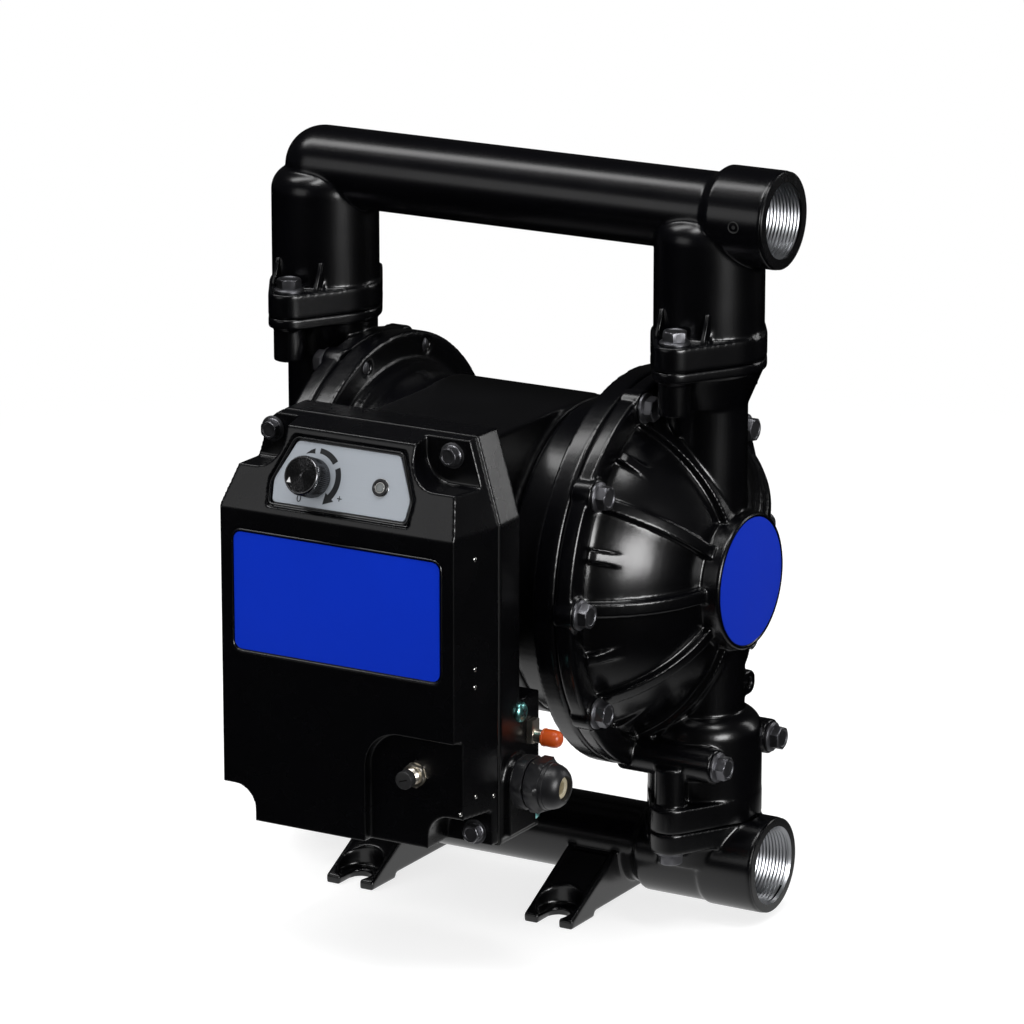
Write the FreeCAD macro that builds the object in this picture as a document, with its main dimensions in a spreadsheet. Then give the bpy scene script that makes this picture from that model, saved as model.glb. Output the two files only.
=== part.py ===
import FreeCAD, Part
import os
import re
import Sketcher

# Electric double diaphragm pump, sizes in millimetres, resting on its four foot pads.
# X runs along both pipe runs towards their open ports, Z is up, and the control box faces -Y.
# A motor in the middle turns a nut, the nut drives a screw shaft along X, and the shaft
# pushes one diaphragm at each end. Four check balls make the liquid flow upwards.

SIZES = {
    # Heights above the floor, and how far the pipe runs reach from the middle
    "pump_axis_height": 205.2,
    "riser_offset": 130.7,
    "outlet_height": 422.4,
    "inlet_height": 32.9,
    "upper_joint_height": 338,
    "lower_joint_height": 60,
    "outlet_reach": 178.8,
    "inlet_reach": 177.3,
    # Pipes and threaded ports
    "tube_radius": 23.8,
    "tube_bore_radius": 18.5,
    "collar_radius": 28.8,
    "collar_length": 36,
    "inlet_swell_radius": 27.6,
    "inlet_swell_length": 32,
    "collar_bevel": 7,
    "port_radius": 22.25,
    "port_depth": 26,
    "riser_radius": 32.4,
    "shoulder_radius": 14.5,
    # Lozenge flanges, each with two ears and two bolts
    "outlet_flange_thickness": 14.8,
    "inlet_flange_thickness": 13,
    "cover_top_flange_thickness": 6.5,
    "cover_foot_flange_thickness": 14.8,
    "flange_radius": 34,
    "ear_offset": 41.5,
    "ear_radius": 12.5,
    "ear_boss_radius": 9.5,
    "ear_boss_length": 22,
    "ear_column_length": 24,
    "gusset_spacing": 30,
    "gusset_width": 3,
    "gusset_height": 16,
    # Ball check valves
    "ball_radius": 19,
    "ball_seat_overlap": 4,
    "ball_stop_overlap": 3,
    "ball_lift": 9,
    "ball_gap": 0.5,
    "cage_gap": 7.5,
    "seat_radius": 30,
    "seat_thickness": 8,
    "seat_chamfer": 3.5,
    "seal_ring_radius": 26,
    "seal_cord_radius": 1.3,
    # Feet under the inlet run
    "foot_spacing": 137.6,
    "foot_width": 33,
    "foot_reach": 78.6,
    "foot_toe_height": 5,
    "foot_shoulder_height": 30,
    "foot_shoulder_reach": 27,
    "foot_relief": 3,
    "foot_pad_length": 28,
    "slot_width": 14,
    "slot_depth": 20,
    "slot_spotface_radius": 13.5,
    "foot_web_width": 3.5,
    "foot_web_drop": 2.2,
    # Fluid covers: flange, dome, hub, ribs and the upright neck
    "cover_radius": 118.5,
    "clamp_face": 95,
    "cover_flange_thickness": 11,
    "cover_edge": 1.5,
    "cover_step_height": 3,
    "cover_step_radius": 104,
    "dome_radius": 98,
    "dome_bulge": 8,
    "hub_start": 148,
    "hub_radius": 41,
    "hub_face": 160.8,
    "cover_wall": 6,
    "neck_radius": 23.3,
    "cage_dome_radius": 33.8,
    "cage_dome_top": 111,
    "cage_dome_rounding": 13,
    "main_rib_width": 8,
    "main_rib_height": 5,
    "short_rib_width": 7,
    "short_rib_height": 4,
    "cover_bolt_count": 10,
    "cover_bolt_circle": 110.5,
    "cover_lobe_radius": 10,
    "long_boss_radius": 10.5,
    "long_boss_face": 157,
    "lug_radius": 7.5,
    "lug_hole_radius": 3,
    "lug_height": 138,
    "lug_side_offset": 15,
    "badge_radius": 38,
    "badge_thickness": 1.5,
    "badge_recess": 2,
    # Bolts
    "bolt_radius": 4,
    "bolt_hole_gap": 0.5,
    "thread_gap": 0.05,
    "bolt_head_across": 13,
    "bolt_head_height": 6,
    "bolt_flange_radius": 9,
    "bolt_flange_thickness": 2,
    "bolt_thread_grip": 12,
    "seat_boss_height": 1.5,
    # Air covers, which close the motor housing
    "rim_back": 80.5,
    "rim_step": 75.4,
    "rim_step_radius": 100.4,
    "dish_floor": 67,
    "dish_radius": 64,
    "dish_mouth_radius": 90,
    "web_back": 56,
    "spigot_length": 4,
    "spigot_wall": 6,
    "hub_back": 38,
    "bearing_seat_radius": 25,
    # Motor housing
    "housing_end": 50,
    "housing_radius": 95.5,
    "housing_bore_radius": 84,
    "neck_half_width": 47,
    "neck_back": 17,
    "neck_bottom": 45,
    "neck_wall": 9,
    "housing_screw_rise": 28,
    # Motor and screw drive
    "stator_half_length": 30,
    "stator_yoke": 9,
    "stator_tooth_count": 12,
    "stator_tooth_width": 17,
    "air_gap_radius": 60,
    "coil_width": 29,
    "coil_overhang": 6,
    "coil_height": 9,
    "rotor_gap": 0.8,
    "magnet_thickness": 4,
    "magnet_count": 10,
    "magnet_half_length": 29,
    "rotor_wall": 7,
    "rotor_end": 52,
    "rotor_end_radius": 46,
    "rotor_cavity_radius": 33,
    "rotor_web_half_length": 12,
    "bearing_outer_radius": 38,
    "bearing_start": 40,
    "bearing_length": 11,
    "nut_radius": 24,
    "nut_half_length": 29,
    "screw_radius": 12,
    "running_gap": 0.08,
    "bushing_wall": 2.5,
    "shaft_shoulder": 87,
    "stud_radius": 9,
    "stud_end": 115,
    # Diaphragms and their clamping plates
    "diaphragm_radius": 103,
    "diaphragm_thickness": 3.6,
    "diaphragm_gap": 0.2,
    "convolution_outer_radius": 88,
    "convolution_inner_radius": 62,
    "convolution_depth": 8,
    "air_plate_radius": 58,
    "air_plate_rim": 4,
    "fluid_plate_radius": 56,
    "fluid_plate_thickness": 8,
    "plate_nut_height": 7,
    "plate_nut_across": 26,
    # Control box: rear housing
    "box_right_width": 86.3,
    "box_right_top_width": 71.7,
    "box_left_width": 76.5,
    "box_left_top_width": 63.5,
    "box_left_bevel_run": 8,
    "box_left_bevel_rise": 6,
    "box_bottom": 78,
    "box_top": 318.5,
    "box_taper_start": 268,
    "parting_face": 165,
    "housing_back": 141,
    "deep_back": 119,
    "box_wall": 5,
    # Control box: front cover
    "front_face": 201,
    "front_half_width": 77.5,
    "front_bottom": 80,
    "slope_start": 266,
    "slope_top": 314,
    "slope_run": 18,
    "corner_pocket_radius": 17,
    "corner_bolt_spread": 59.7,
    "corner_bolt_height": 307.3,
    "foot_bolt_right": 73.8,
    "foot_bolt_left": 66.4,
    "foot_bolt_height": 86.8,
    "foot_pocket_radius": 14.5,
    "foot_pocket_spread": 70.4,
    "foot_pocket_height": 86.3,
    "corner_flange_thickness": 6,
    "corner_tab": 12,
    "box_bolt_radius": 3,
    "box_bolt_across": 10,
    "box_bolt_head": 5,
    "box_washer_radius": 7.5,
    "gasket_thickness": 1,
    # Front plate, panel and recess on the front cover
    "plate_half_width": 68.5,
    "plate_bottom": 182.7,
    "plate_top": 252.6,
    "plate_corner_radius": 5,
    "plate_thickness": 0.8,
    "plate_border": 1.6,
    "recess_left": 18.4,
    "recess_top": 147,
    "recess_depth": 7,
    "recess_rounding": 22,
    "panel_low_half_width": 44,
    "panel_mid_half_width": 45.3,
    "panel_top_half_width": 34,
    "panel_low": 7.2,
    "panel_mid": 20,
    "panel_high": 43.8,
    "panel_border": 3,
    "panel_recess": 1.8,
    "panel_thickness": 1.2,
    # Speed knob, its potentiometer and the lamp
    "knob_across": -19.5,
    "knob_up": 23.7,
    "knob_radius": 11.5,
    "knob_height": 15,
    "knob_gap": 0.5,
    "knob_edge": 1,
    "knob_shaft_radius": 3,
    "pot_radius": 8,
    "pot_bushing_radius": 4.5,
    "pot_body_length": 9,
    "lamp_across": 24.8,
    "lamp_up": 24.2,
    "lamp_bezel_radius": 5.1,
    "lamp_lens_radius": 2.6,
    "lamp_height": 1.5,
    "lamp_length": 8,
    # Electronics inside the box
    "board_half_width": 56,
    "board_bottom": 150,
    "board_top": 250,
    "board_thickness": 1.6,
    "board_post_radius": 4,
    "board_post_length": 9,
    "board_screw_radius": 1.5,
    # Front connector
    "connector_across": 48.3,
    "connector_height": 123.4,
    "connector_radius": 5,
    "connector_reach": 6,
    "connector_body_length": 14,
    "connector_flange_radius": 7,
    "connector_nut_across": 13,
    "connector_nut_thickness": 3.5,
    "connector_cap_radius": 5.7,
    "connector_cap_length": 8,
    # Cable gland on the right side
    "gland_height": 113,
    "gland_depth": 146.5,
    "gland_boss_radius": 15,
    "gland_boss_length": 5,
    "gland_hole_radius": 10,
    "gland_hex_across": 29.5,
    "gland_hex_length": 8,
    "gland_nut_length": 20,
    "gland_nut_radius": 14,
    "gland_bore_radius": 7,
    "gland_seal_bore_radius": 4,
    "gland_thread_length": 9,
    "locknut_thickness": 4,
    # Side fittings
    "elbow_height": 135.4,
    "elbow_depth": 130,
    "elbow_radius": 4,
    "elbow_reach": 9,
    "cap_radius": 5,
    "cap_length": 12,
    "ground_head_radius": 6,
    "ground_head_thickness": 3,
    "ground_shank_radius": 2.5,
    "ground_shank_length": 4,
    "ground_high_height": 152,
    "ground_high_depth": 141,
    "ground_low_height": 89,
    "ground_low_depth": 125.2,
}

doc = FreeCAD.newDocument("double_diaphragm_pump")
sheet = doc.addObject("Spreadsheet::Sheet", "Sizes")
for row, (alias, number) in enumerate(SIZES.items(), 1):
    sheet.set(f"A{row}", alias)
    sheet.set(f"B{row}", str(number))
    sheet.setAlias(f"B{row}", alias)
doc.recompute()


# Helpers: a formula is a text such as "hub_face - badge_recess" on the named sizes.

def bound(formula):
    """Formula with each named size looked up on the sheet."""
    return re.sub(r"[a-z][a-z_]+", lambda word: "Sizes." + word[0] if word[0] in SIZES else word[0], formula)


def value(formula):
    """Number that a formula gives now."""
    result = sheet.evalExpression(bound(formula))
    return float(getattr(result, "Value", result))


def tie(item, **formulas):
    """Bind properties to formulas; two underscores stand for the dot in a property's path."""
    for path, formula in formulas.items():
        item.setExpression(path.replace("__", "."), bound(formula))


def new_body(label, x="0", y="0", z="0", axis=None, angle="0", several=False):
    """Named sub-part with its own frame, moved and turned to its place."""
    part = doc.addObject("PartDesign::Body", label)
    part.Label = label
    part.AllowCompound = several
    turn = FreeCAD.Rotation(FreeCAD.Vector(axis or (0, 0, 1)), value(angle))
    part.Placement = FreeCAD.Placement(FreeCAD.Vector(value(x), value(y), value(z)), turn)
    tie(part, Placement__Base__x=x, Placement__Base__y=y, Placement__Base__z=z)
    if axis:
        tie(part, Placement__Rotation__Angle=angle)
    return part


def origin_part(part, role):
    """Plane or axis of a body's own frame."""
    return next(item for item in part.Origin.OriginFeatures if item.Role == role)


def new_sketch(part, name, role, right="0", up="0", out="0", tilt=None):
    """Empty sketch on one of the body's planes, moved in that plane and along its normal."""
    sketch = part.newObject("Sketcher::SketchObject", name)
    sketch.AttachmentSupport = [(origin_part(part, role), "")]
    sketch.MapMode = "FlatFace"
    turn = FreeCAD.Rotation(FreeCAD.Vector(1, 0, 0), value(tilt) if tilt else 0)
    sketch.AttachmentOffset = FreeCAD.Placement(FreeCAD.Vector(value(right), value(up), value(out)), turn)
    tie(sketch, AttachmentOffset__Base__x=right, AttachmentOffset__Base__y=up, AttachmentOffset__Base__z=out)
    if tilt:
        tie(sketch, AttachmentOffset__Rotation__Angle=tilt)
    return sketch


def pin(sketch, geometry, end, spot):
    """Bind one point of a sketch to a pair of formulas."""
    for kind, formula in zip(("DistanceX", "DistanceY"), spot):
        index = sketch.addConstraint(Sketcher.Constraint(kind, -1, 1, geometry, end, value(formula)))
        sketch.setExpression(f"Constraints[{index}]", bound(formula))


def draw_loop(sketch, corners, through=None):
    """Closed loop of lines; through gives the point that a side's arc passes, by side number."""
    through = through or {}
    spots = [FreeCAD.Vector(value(u), value(v), 0) for u, v in corners]
    first = sketch.GeometryCount
    heads = []
    tails = []
    for side, start in enumerate(spots):
        end = spots[(side + 1) % len(spots)]
        if side in through:
            middle = FreeCAD.Vector(*(value(formula) for formula in through[side]), 0)
            sketch.addGeometry(Part.Arc(start, middle, end))
            forward = (middle - start).cross(end - middle).z > 0
            heads.append(1 if forward else 2)
            tails.append(2 if forward else 1)
        else:
            sketch.addGeometry(Part.LineSegment(start, end))
            heads.append(1)
            tails.append(2)
    for side in range(len(spots)):
        before = (side - 1) % len(spots)
        sketch.addConstraint(
            Sketcher.Constraint("Coincident", first + before, tails[before], first + side, heads[side]))
        pin(sketch, first + side, heads[side], corners[side])
    for side, spot in through.items():
        marker = sketch.addGeometry(Part.Point(FreeCAD.Vector(value(spot[0]), value(spot[1]), 0)), True)
        pin(sketch, marker, 1, spot)
        sketch.addConstraint(Sketcher.Constraint("PointOnObject", marker, 1, first + side))


def outline(part, name, role, corners, through=None, **place):
    """Sketch that holds one closed loop."""
    sketch = new_sketch(part, name, role, **place)
    draw_loop(sketch, corners, through)
    return sketch


def circles(part, name, role, centres, *radii, **place):
    """Sketch of circles: every radius is drawn about every centre."""
    sketch = new_sketch(part, name, role, **place)
    for centre in centres:
        for radius in radii:
            spot = FreeCAD.Vector(value(centre[0]), value(centre[1]), 0)
            ring = sketch.addGeometry(Part.Circle(spot, FreeCAD.Vector(0, 0, 1), value(radius)))
            pin(sketch, ring, 3, centre)
            index = sketch.addConstraint(Sketcher.Constraint("Radius", ring, value(radius)))
            sketch.setExpression(f"Constraints[{index}]", bound(radius))
    return sketch


def slab(part, kind, sketch, low, high):
    """Pad or pocket of a sketch between two stations along its plane's normal."""
    feature = part.newObject("PartDesign::" + kind, kind.lower() + "_" + sketch.Name)
    feature.Profile = sketch
    feature.Refine = False
    feature.SideType = "Symmetric"
    if sketch.AttachmentSupport[0][0].Role == "XZ_Plane":
        middle = f"-(({low}) + ({high})) / 2"
    else:
        middle = f"(({low}) + ({high})) / 2"
    tie(sketch, AttachmentOffset__Base__z=middle)
    tie(feature, Length=f"({high}) - ({low})")
    sketch.Visibility = False
    return feature


def turned(part, kind, sketch, axis="H_Axis"):
    """Revolution or groove of a sketch about one of its own axes."""
    feature = part.newObject("PartDesign::" + kind, kind.lower() + "_" + sketch.Name)
    feature.Profile = sketch
    feature.ReferenceAxis = (sketch, [axis])
    feature.Refine = False
    feature.Angle = 360
    sketch.Visibility = False
    return feature


def around(part, features, count, span=None, role="X_Axis"):
    """Polar pattern of features about one axis of the body."""
    pattern = part.newObject("PartDesign::PolarPattern", "pattern_" + features[0].Name)
    pattern.Originals = features
    pattern.Refine = False
    pattern.Axis = (origin_part(part, role), [""])
    if span:
        tie(pattern, Angle=span)
    else:
        pattern.Angle = 360
    tie(pattern, Occurrences=count)
    part.Tip = pattern
    return pattern


def mirrored(part, features, role):
    """Mirror copy of features across one plane of the body."""
    copy = part.newObject("PartDesign::Mirrored", "mirror_" + features[0].Name)
    copy.Originals = features
    copy.Refine = False
    copy.MirrorPlane = (origin_part(part, role), [""])
    part.Tip = copy
    return copy


def twin(source, label):
    """Same piece again at the other end of the pump, turned half way round."""
    copy = doc.addObject("Part::Compound", label)
    copy.Label = label
    copy.Links = [source]
    copy.Placement = FreeCAD.Placement(FreeCAD.Vector(), FreeCAD.Rotation(FreeCAD.Vector(0, 0, 1), 180))
    return copy


def hexagon(across, u="0", v="0"):
    """Corners of a hexagon with the given width across flats."""
    far = f"({across}) / sqrt(3)"
    near = f"({across}) / sqrt(3) / 2"
    side = f"({across}) / 2"
    return [(f"{u} + {far}", f"{v}"), (f"{u} + {near}", f"{v} + {side}"), (f"{u} - {near}", f"{v} + {side}"),
            (f"{u} - {far}", f"{v}"), (f"{u} - {near}", f"{v} - {side}"), (f"{u} + {near}", f"{v} - {side}")]


def lozenge(shrink="0"):
    """Flange outline: a round middle joined by straight sides to one ear at each end."""
    slant = "((flange_radius - ear_radius) / ear_offset)"
    square = f"sqrt(1 - {slant} ^ 2)"
    middle = f"(flange_radius - {shrink})"
    ear = f"(ear_radius - {shrink})"
    waist = (f"{middle} * {square}", f"{middle} * {slant}")
    hip = (f"{ear} * {square}", f"ear_offset + {ear} * {slant}")
    corners = [(waist[0], "-" + waist[1]), waist, hip, ("-" + hip[0], hip[1]), ("-" + waist[0], waist[1]),
               ("-" + waist[0], "-" + waist[1]), ("-" + hip[0], f"-({hip[1]})"), (hip[0], f"-({hip[1]})")]
    through = {0: (middle, "0"), 2: ("0", f"ear_offset + {ear}"), 4: ("-" + middle, "0"),
               6: ("0", f"-(ear_offset + {ear})")}
    return corners, through


# Formulas that several pieces share

PASSAGE = "(ball_radius - ball_stop_overlap)"
SEAT_BORE = "(ball_radius - ball_seat_overlap)"
BALL_RISE = f"(sqrt(ball_radius ^ 2 - {SEAT_BORE} ^ 2) - seat_chamfer + ball_gap)"
CAGE_DEPTH = f"({BALL_RISE} + ball_lift + sqrt(ball_radius ^ 2 - {PASSAGE} ^ 2) + ball_gap)"
CAGE_RADIUS = "(ball_radius + cage_gap)"
SEAT_POCKET = "(seat_radius + bolt_hole_gap / 2)"
BOLT_HOLE = "(bolt_radius + bolt_hole_gap)"
EARS = [("0", "ear_offset"), ("0", "-ear_offset")]
HALF_STEP = "(180 / cover_bolt_count)"
FULL_STEP = "(360 / cover_bolt_count)"
FLANGE_FRONT = "(clamp_face + cover_flange_thickness)"
BOLT_SEAT = f"({FLANGE_FRONT} + seat_boss_height)"
SLOPE_ANGLE = "(90 deg - atan(slope_run / (slope_top - slope_start)))"


def riser_pipe(part, prefix, side, joint):
    """Upright end of the outlet run above one valve: a thick pipe with a rounded shoulder."""
    profile = outline(part, prefix + "_riser_profile", "XZ_Plane", [
        ("0", joint),
        ("riser_radius", joint),
        ("riser_radius", "-shoulder_radius"),
        ("riser_radius - shoulder_radius", "0"),
        ("0", "0"),
    ], {2: ("riser_radius - shoulder_radius * (1 - sqrt(0.5))", "shoulder_radius * (sqrt(0.5) - 1)")},
        right=side + "riser_offset")
    turned(part, "Revolution", profile, "V_Axis")


def flange_plate(part, prefix, side, low, high, shrink="0"):
    """Lozenge flange about one riser."""
    corners, through = lozenge(shrink)
    plate = outline(part, prefix + "_flange_outline", "XY_Plane", corners, through, right=side + "riser_offset")
    slab(part, "Pad", plate, low, high)


def bored(part, name, role, centres, radius, low, high, **place):
    """Round pocket through one or several centres."""
    return slab(part, "Pocket", circles(part, name, role, centres, radius, **place), low, high)


def port_collar(part, reach, height="0"):
    """Thickened end of a pipe run that holds the threaded port."""
    collar = outline(part, "collar_profile", "XZ_Plane", [
        (f"{reach} - collar_length - collar_bevel", "0"),
        (f"{reach} - collar_length - collar_bevel", "tube_radius"),
        (f"{reach} - collar_length", "collar_radius"),
        (f"{reach} - cover_edge", "collar_radius"),
        (reach, "collar_radius - cover_edge"),
        (reach, "0"),
    ], up=height)
    turned(part, "Revolution", collar)


def outlet_manifold():
    """Upper pipe run: two risers above the outlet valves and one tube that ends in the outlet port."""
    part = new_body("outlet_manifold", z="outlet_height")
    joint = "(upper_joint_height - outlet_height)"
    tube = outline(part, "tube_profile", "XZ_Plane", [
        ("-riser_offset - tube_radius", "0"),
        ("-riser_offset", "tube_radius"),
        ("outlet_reach - collar_length", "tube_radius"),
        ("outlet_reach - collar_length", "0"),
    ], {0: ("-riser_offset - tube_radius * sqrt(0.5)", "tube_radius * sqrt(0.5)")})
    turned(part, "Revolution", tube)
    port_collar(part, "outlet_reach")
    for prefix, side in (("left", "-"), ("right", "")):
        riser_pipe(part, prefix, side, joint)
        flange_plate(part, prefix, side, joint, f"{joint} + outlet_flange_thickness")
        top = f"{joint} + outlet_flange_thickness"
        for hand in ("-", "+"):
            fin = outline(part, f"{prefix}_fin", "YZ_Plane", [
                ("-ear_offset + ear_radius - gusset_width", top),
                ("ear_offset - ear_radius + gusset_width", top),
                ("riser_radius * sqrt(0.5)", f"{top} + gusset_height"),
                ("-riser_radius * sqrt(0.5)", f"{top} + gusset_height"),
            ])
            middle = f"({side}riser_offset {hand} gusset_spacing / 2)"
            slab(part, "Pad", fin, f"{middle} - gusset_width / 2", f"{middle} + gusset_width / 2")
    for prefix, side in (("left", "-"), ("right", "")):
        bored(part, prefix + "_cage", "XY_Plane", [("0", "0")], CAGE_RADIUS, joint, f"{joint} + {CAGE_DEPTH}",
              right=side + "riser_offset")
        bored(part, prefix + "_passage", "XY_Plane", [("0", "0")], PASSAGE, joint, "0",
              right=side + "riser_offset")
        bored(part, prefix + "_ear_holes", "XY_Plane", EARS, BOLT_HOLE, joint,
              f"{joint} + outlet_flange_thickness", right=side + "riser_offset")
    bored(part, "tube_bore", "YZ_Plane", [("0", "0")], "tube_bore_radius", "-riser_offset", "outlet_reach")
    bored(part, "port_bore", "YZ_Plane", [("0", "0")], "port_radius", "outlet_reach - port_depth", "outlet_reach")
    return part


def foot_shape(part, prefix, side):
    """Pair of feet, front and rear, under one end of the inlet run."""
    low = f"{side}foot_spacing / 2 - foot_width / 2"
    high = f"{side}foot_spacing / 2 + foot_width / 2"
    profile = outline(part, prefix + "_foot_profile", "YZ_Plane", [
        ("-foot_reach", "0"),
        ("foot_reach", "0"),
        ("foot_reach", "foot_toe_height"),
        ("foot_shoulder_reach", "foot_shoulder_height"),
        ("-foot_shoulder_reach", "foot_shoulder_height"),
        ("-foot_reach", "foot_toe_height"),
    ])
    slab(part, "Pad", profile, f"{low} + foot_web_width", f"{high} - foot_web_width")
    for place, start in (("near", low), ("far", f"{high} - foot_web_width")):
        web = outline(part, f"{prefix}_{place}_web", "YZ_Plane", [
            ("-foot_reach", "0"),
            ("foot_reach", "0"),
            ("foot_reach", "foot_toe_height"),
            ("foot_shoulder_reach", "foot_shoulder_height + foot_web_drop"),
            ("-foot_shoulder_reach", "foot_shoulder_height + foot_web_drop"),
            ("-foot_reach", "foot_toe_height"),
        ])
        slab(part, "Pad", web, start, f"{start} + foot_web_width")


def foot_cuts(part, prefix, side):
    """Open bolt slots, their round spot faces and the relief between the pads."""
    middle = f"{side}foot_spacing / 2"
    for place, hand in (("front", "-"), ("rear", "")):
        root = f"{hand}(foot_reach - slot_depth + slot_width / 2)"
        mouth = f"{hand}(foot_reach + cover_edge)"
        tip = f"{hand}(foot_reach - slot_depth)"
        slot = outline(part, f"{prefix}_{place}_slot", "XY_Plane", [
            ("-slot_width / 2", mouth),
            ("-slot_width / 2", root),
            ("slot_width / 2", root),
            ("slot_width / 2", mouth),
        ], {1: ("0", tip)}, right=middle)
        slab(part, "Pocket", slot, "-foot_toe_height", "foot_shoulder_height")
        bored(part, f"{prefix}_{place}_spotface", "XY_Plane", [("0", root)], "slot_spotface_radius",
              "foot_toe_height", "foot_shoulder_height", right=middle)
    relief = outline(part, prefix + "_foot_relief", "XZ_Plane", [
        ("-foot_width", "-foot_relief"),
        ("foot_width", "-foot_relief"),
        ("foot_width", "foot_relief"),
        ("-foot_width", "foot_relief"),
    ], right=middle)
    slab(part, "Pocket", relief, "-foot_reach + foot_pad_length", "foot_reach - foot_pad_length")


def inlet_manifold():
    """Lower pipe run: the inlet port, two upright stubs under the inlet valves and four feet."""
    part = new_body("inlet_manifold")
    swell = "inlet_swell_radius"
    tube = outline(part, "tube_profile", "XZ_Plane", [
        (f"-riser_offset - {swell}", "0"),
        ("-riser_offset", swell),
        ("-riser_offset + inlet_swell_length", swell),
        (f"-riser_offset + inlet_swell_length + {swell} - tube_radius", "tube_radius"),
        (f"riser_offset - inlet_swell_length - {swell} + tube_radius", "tube_radius"),
        ("riser_offset - inlet_swell_length", swell),
        ("inlet_reach - collar_length", swell),
        ("inlet_reach - collar_length", "0"),
    ], {0: (f"-riser_offset - {swell} * sqrt(0.5)", f"{swell} * sqrt(0.5)")}, up="inlet_height")
    turned(part, "Revolution", tube)
    port_collar(part, "inlet_reach", "inlet_height")
    for prefix, side in (("left", "-"), ("right", "")):
        stub = circles(part, prefix + "_stub", "XY_Plane", [("0", "0")], "riser_radius", right=side + "riser_offset")
        slab(part, "Pad", stub, "inlet_height", "lower_joint_height")
        flange_plate(part, prefix, side, "lower_joint_height - inlet_flange_thickness", "lower_joint_height")
        foot_shape(part, prefix, side)
    for prefix, side in (("left", "-"), ("right", "")):
        foot_cuts(part, prefix, side)
        right = side + "riser_offset"
        bored(part, prefix + "_joint_face", "XY_Plane", [("0", "0")], "flange_radius + cover_edge",
              "lower_joint_height", "inlet_height + collar_radius + cover_edge", right=right)
        bored(part, prefix + "_passage", "XY_Plane", [("0", "0")], PASSAGE,
              "inlet_height", "lower_joint_height", right=right)
        bored(part, prefix + "_ear_holes", "XY_Plane", EARS, BOLT_HOLE,
              "lower_joint_height - inlet_flange_thickness", "lower_joint_height", right=right)
    bored(part, "tube_bore", "YZ_Plane", [("0", "0")], "tube_bore_radius", "-riser_offset", "inlet_reach",
          up="inlet_height")
    bored(part, "port_bore", "YZ_Plane", [("0", "0")], "port_radius", "inlet_reach - port_depth", "inlet_reach",
          up="inlet_height")
    return part


def dome_arc(inset="0"):
    """Ends and middle of the dome's profile, moved inwards by a wall."""
    start = (f"{FLANGE_FRONT} - {inset}", f"dome_radius - {inset}")
    end = (f"hub_start - {inset}", f"hub_radius - {inset}")
    run = f"(hub_start - {FLANGE_FRONT})"
    fall = "(dome_radius - hub_radius)"
    chord = f"sqrt({run} ^ 2 + {fall} ^ 2)"
    middle = (f"({start[0]} + {end[0]}) / 2 + dome_bulge * {fall} / {chord}",
              f"({start[1]} + {end[1]}) / 2 + dome_bulge * {run} / {chord}")
    return start, middle, end


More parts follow.
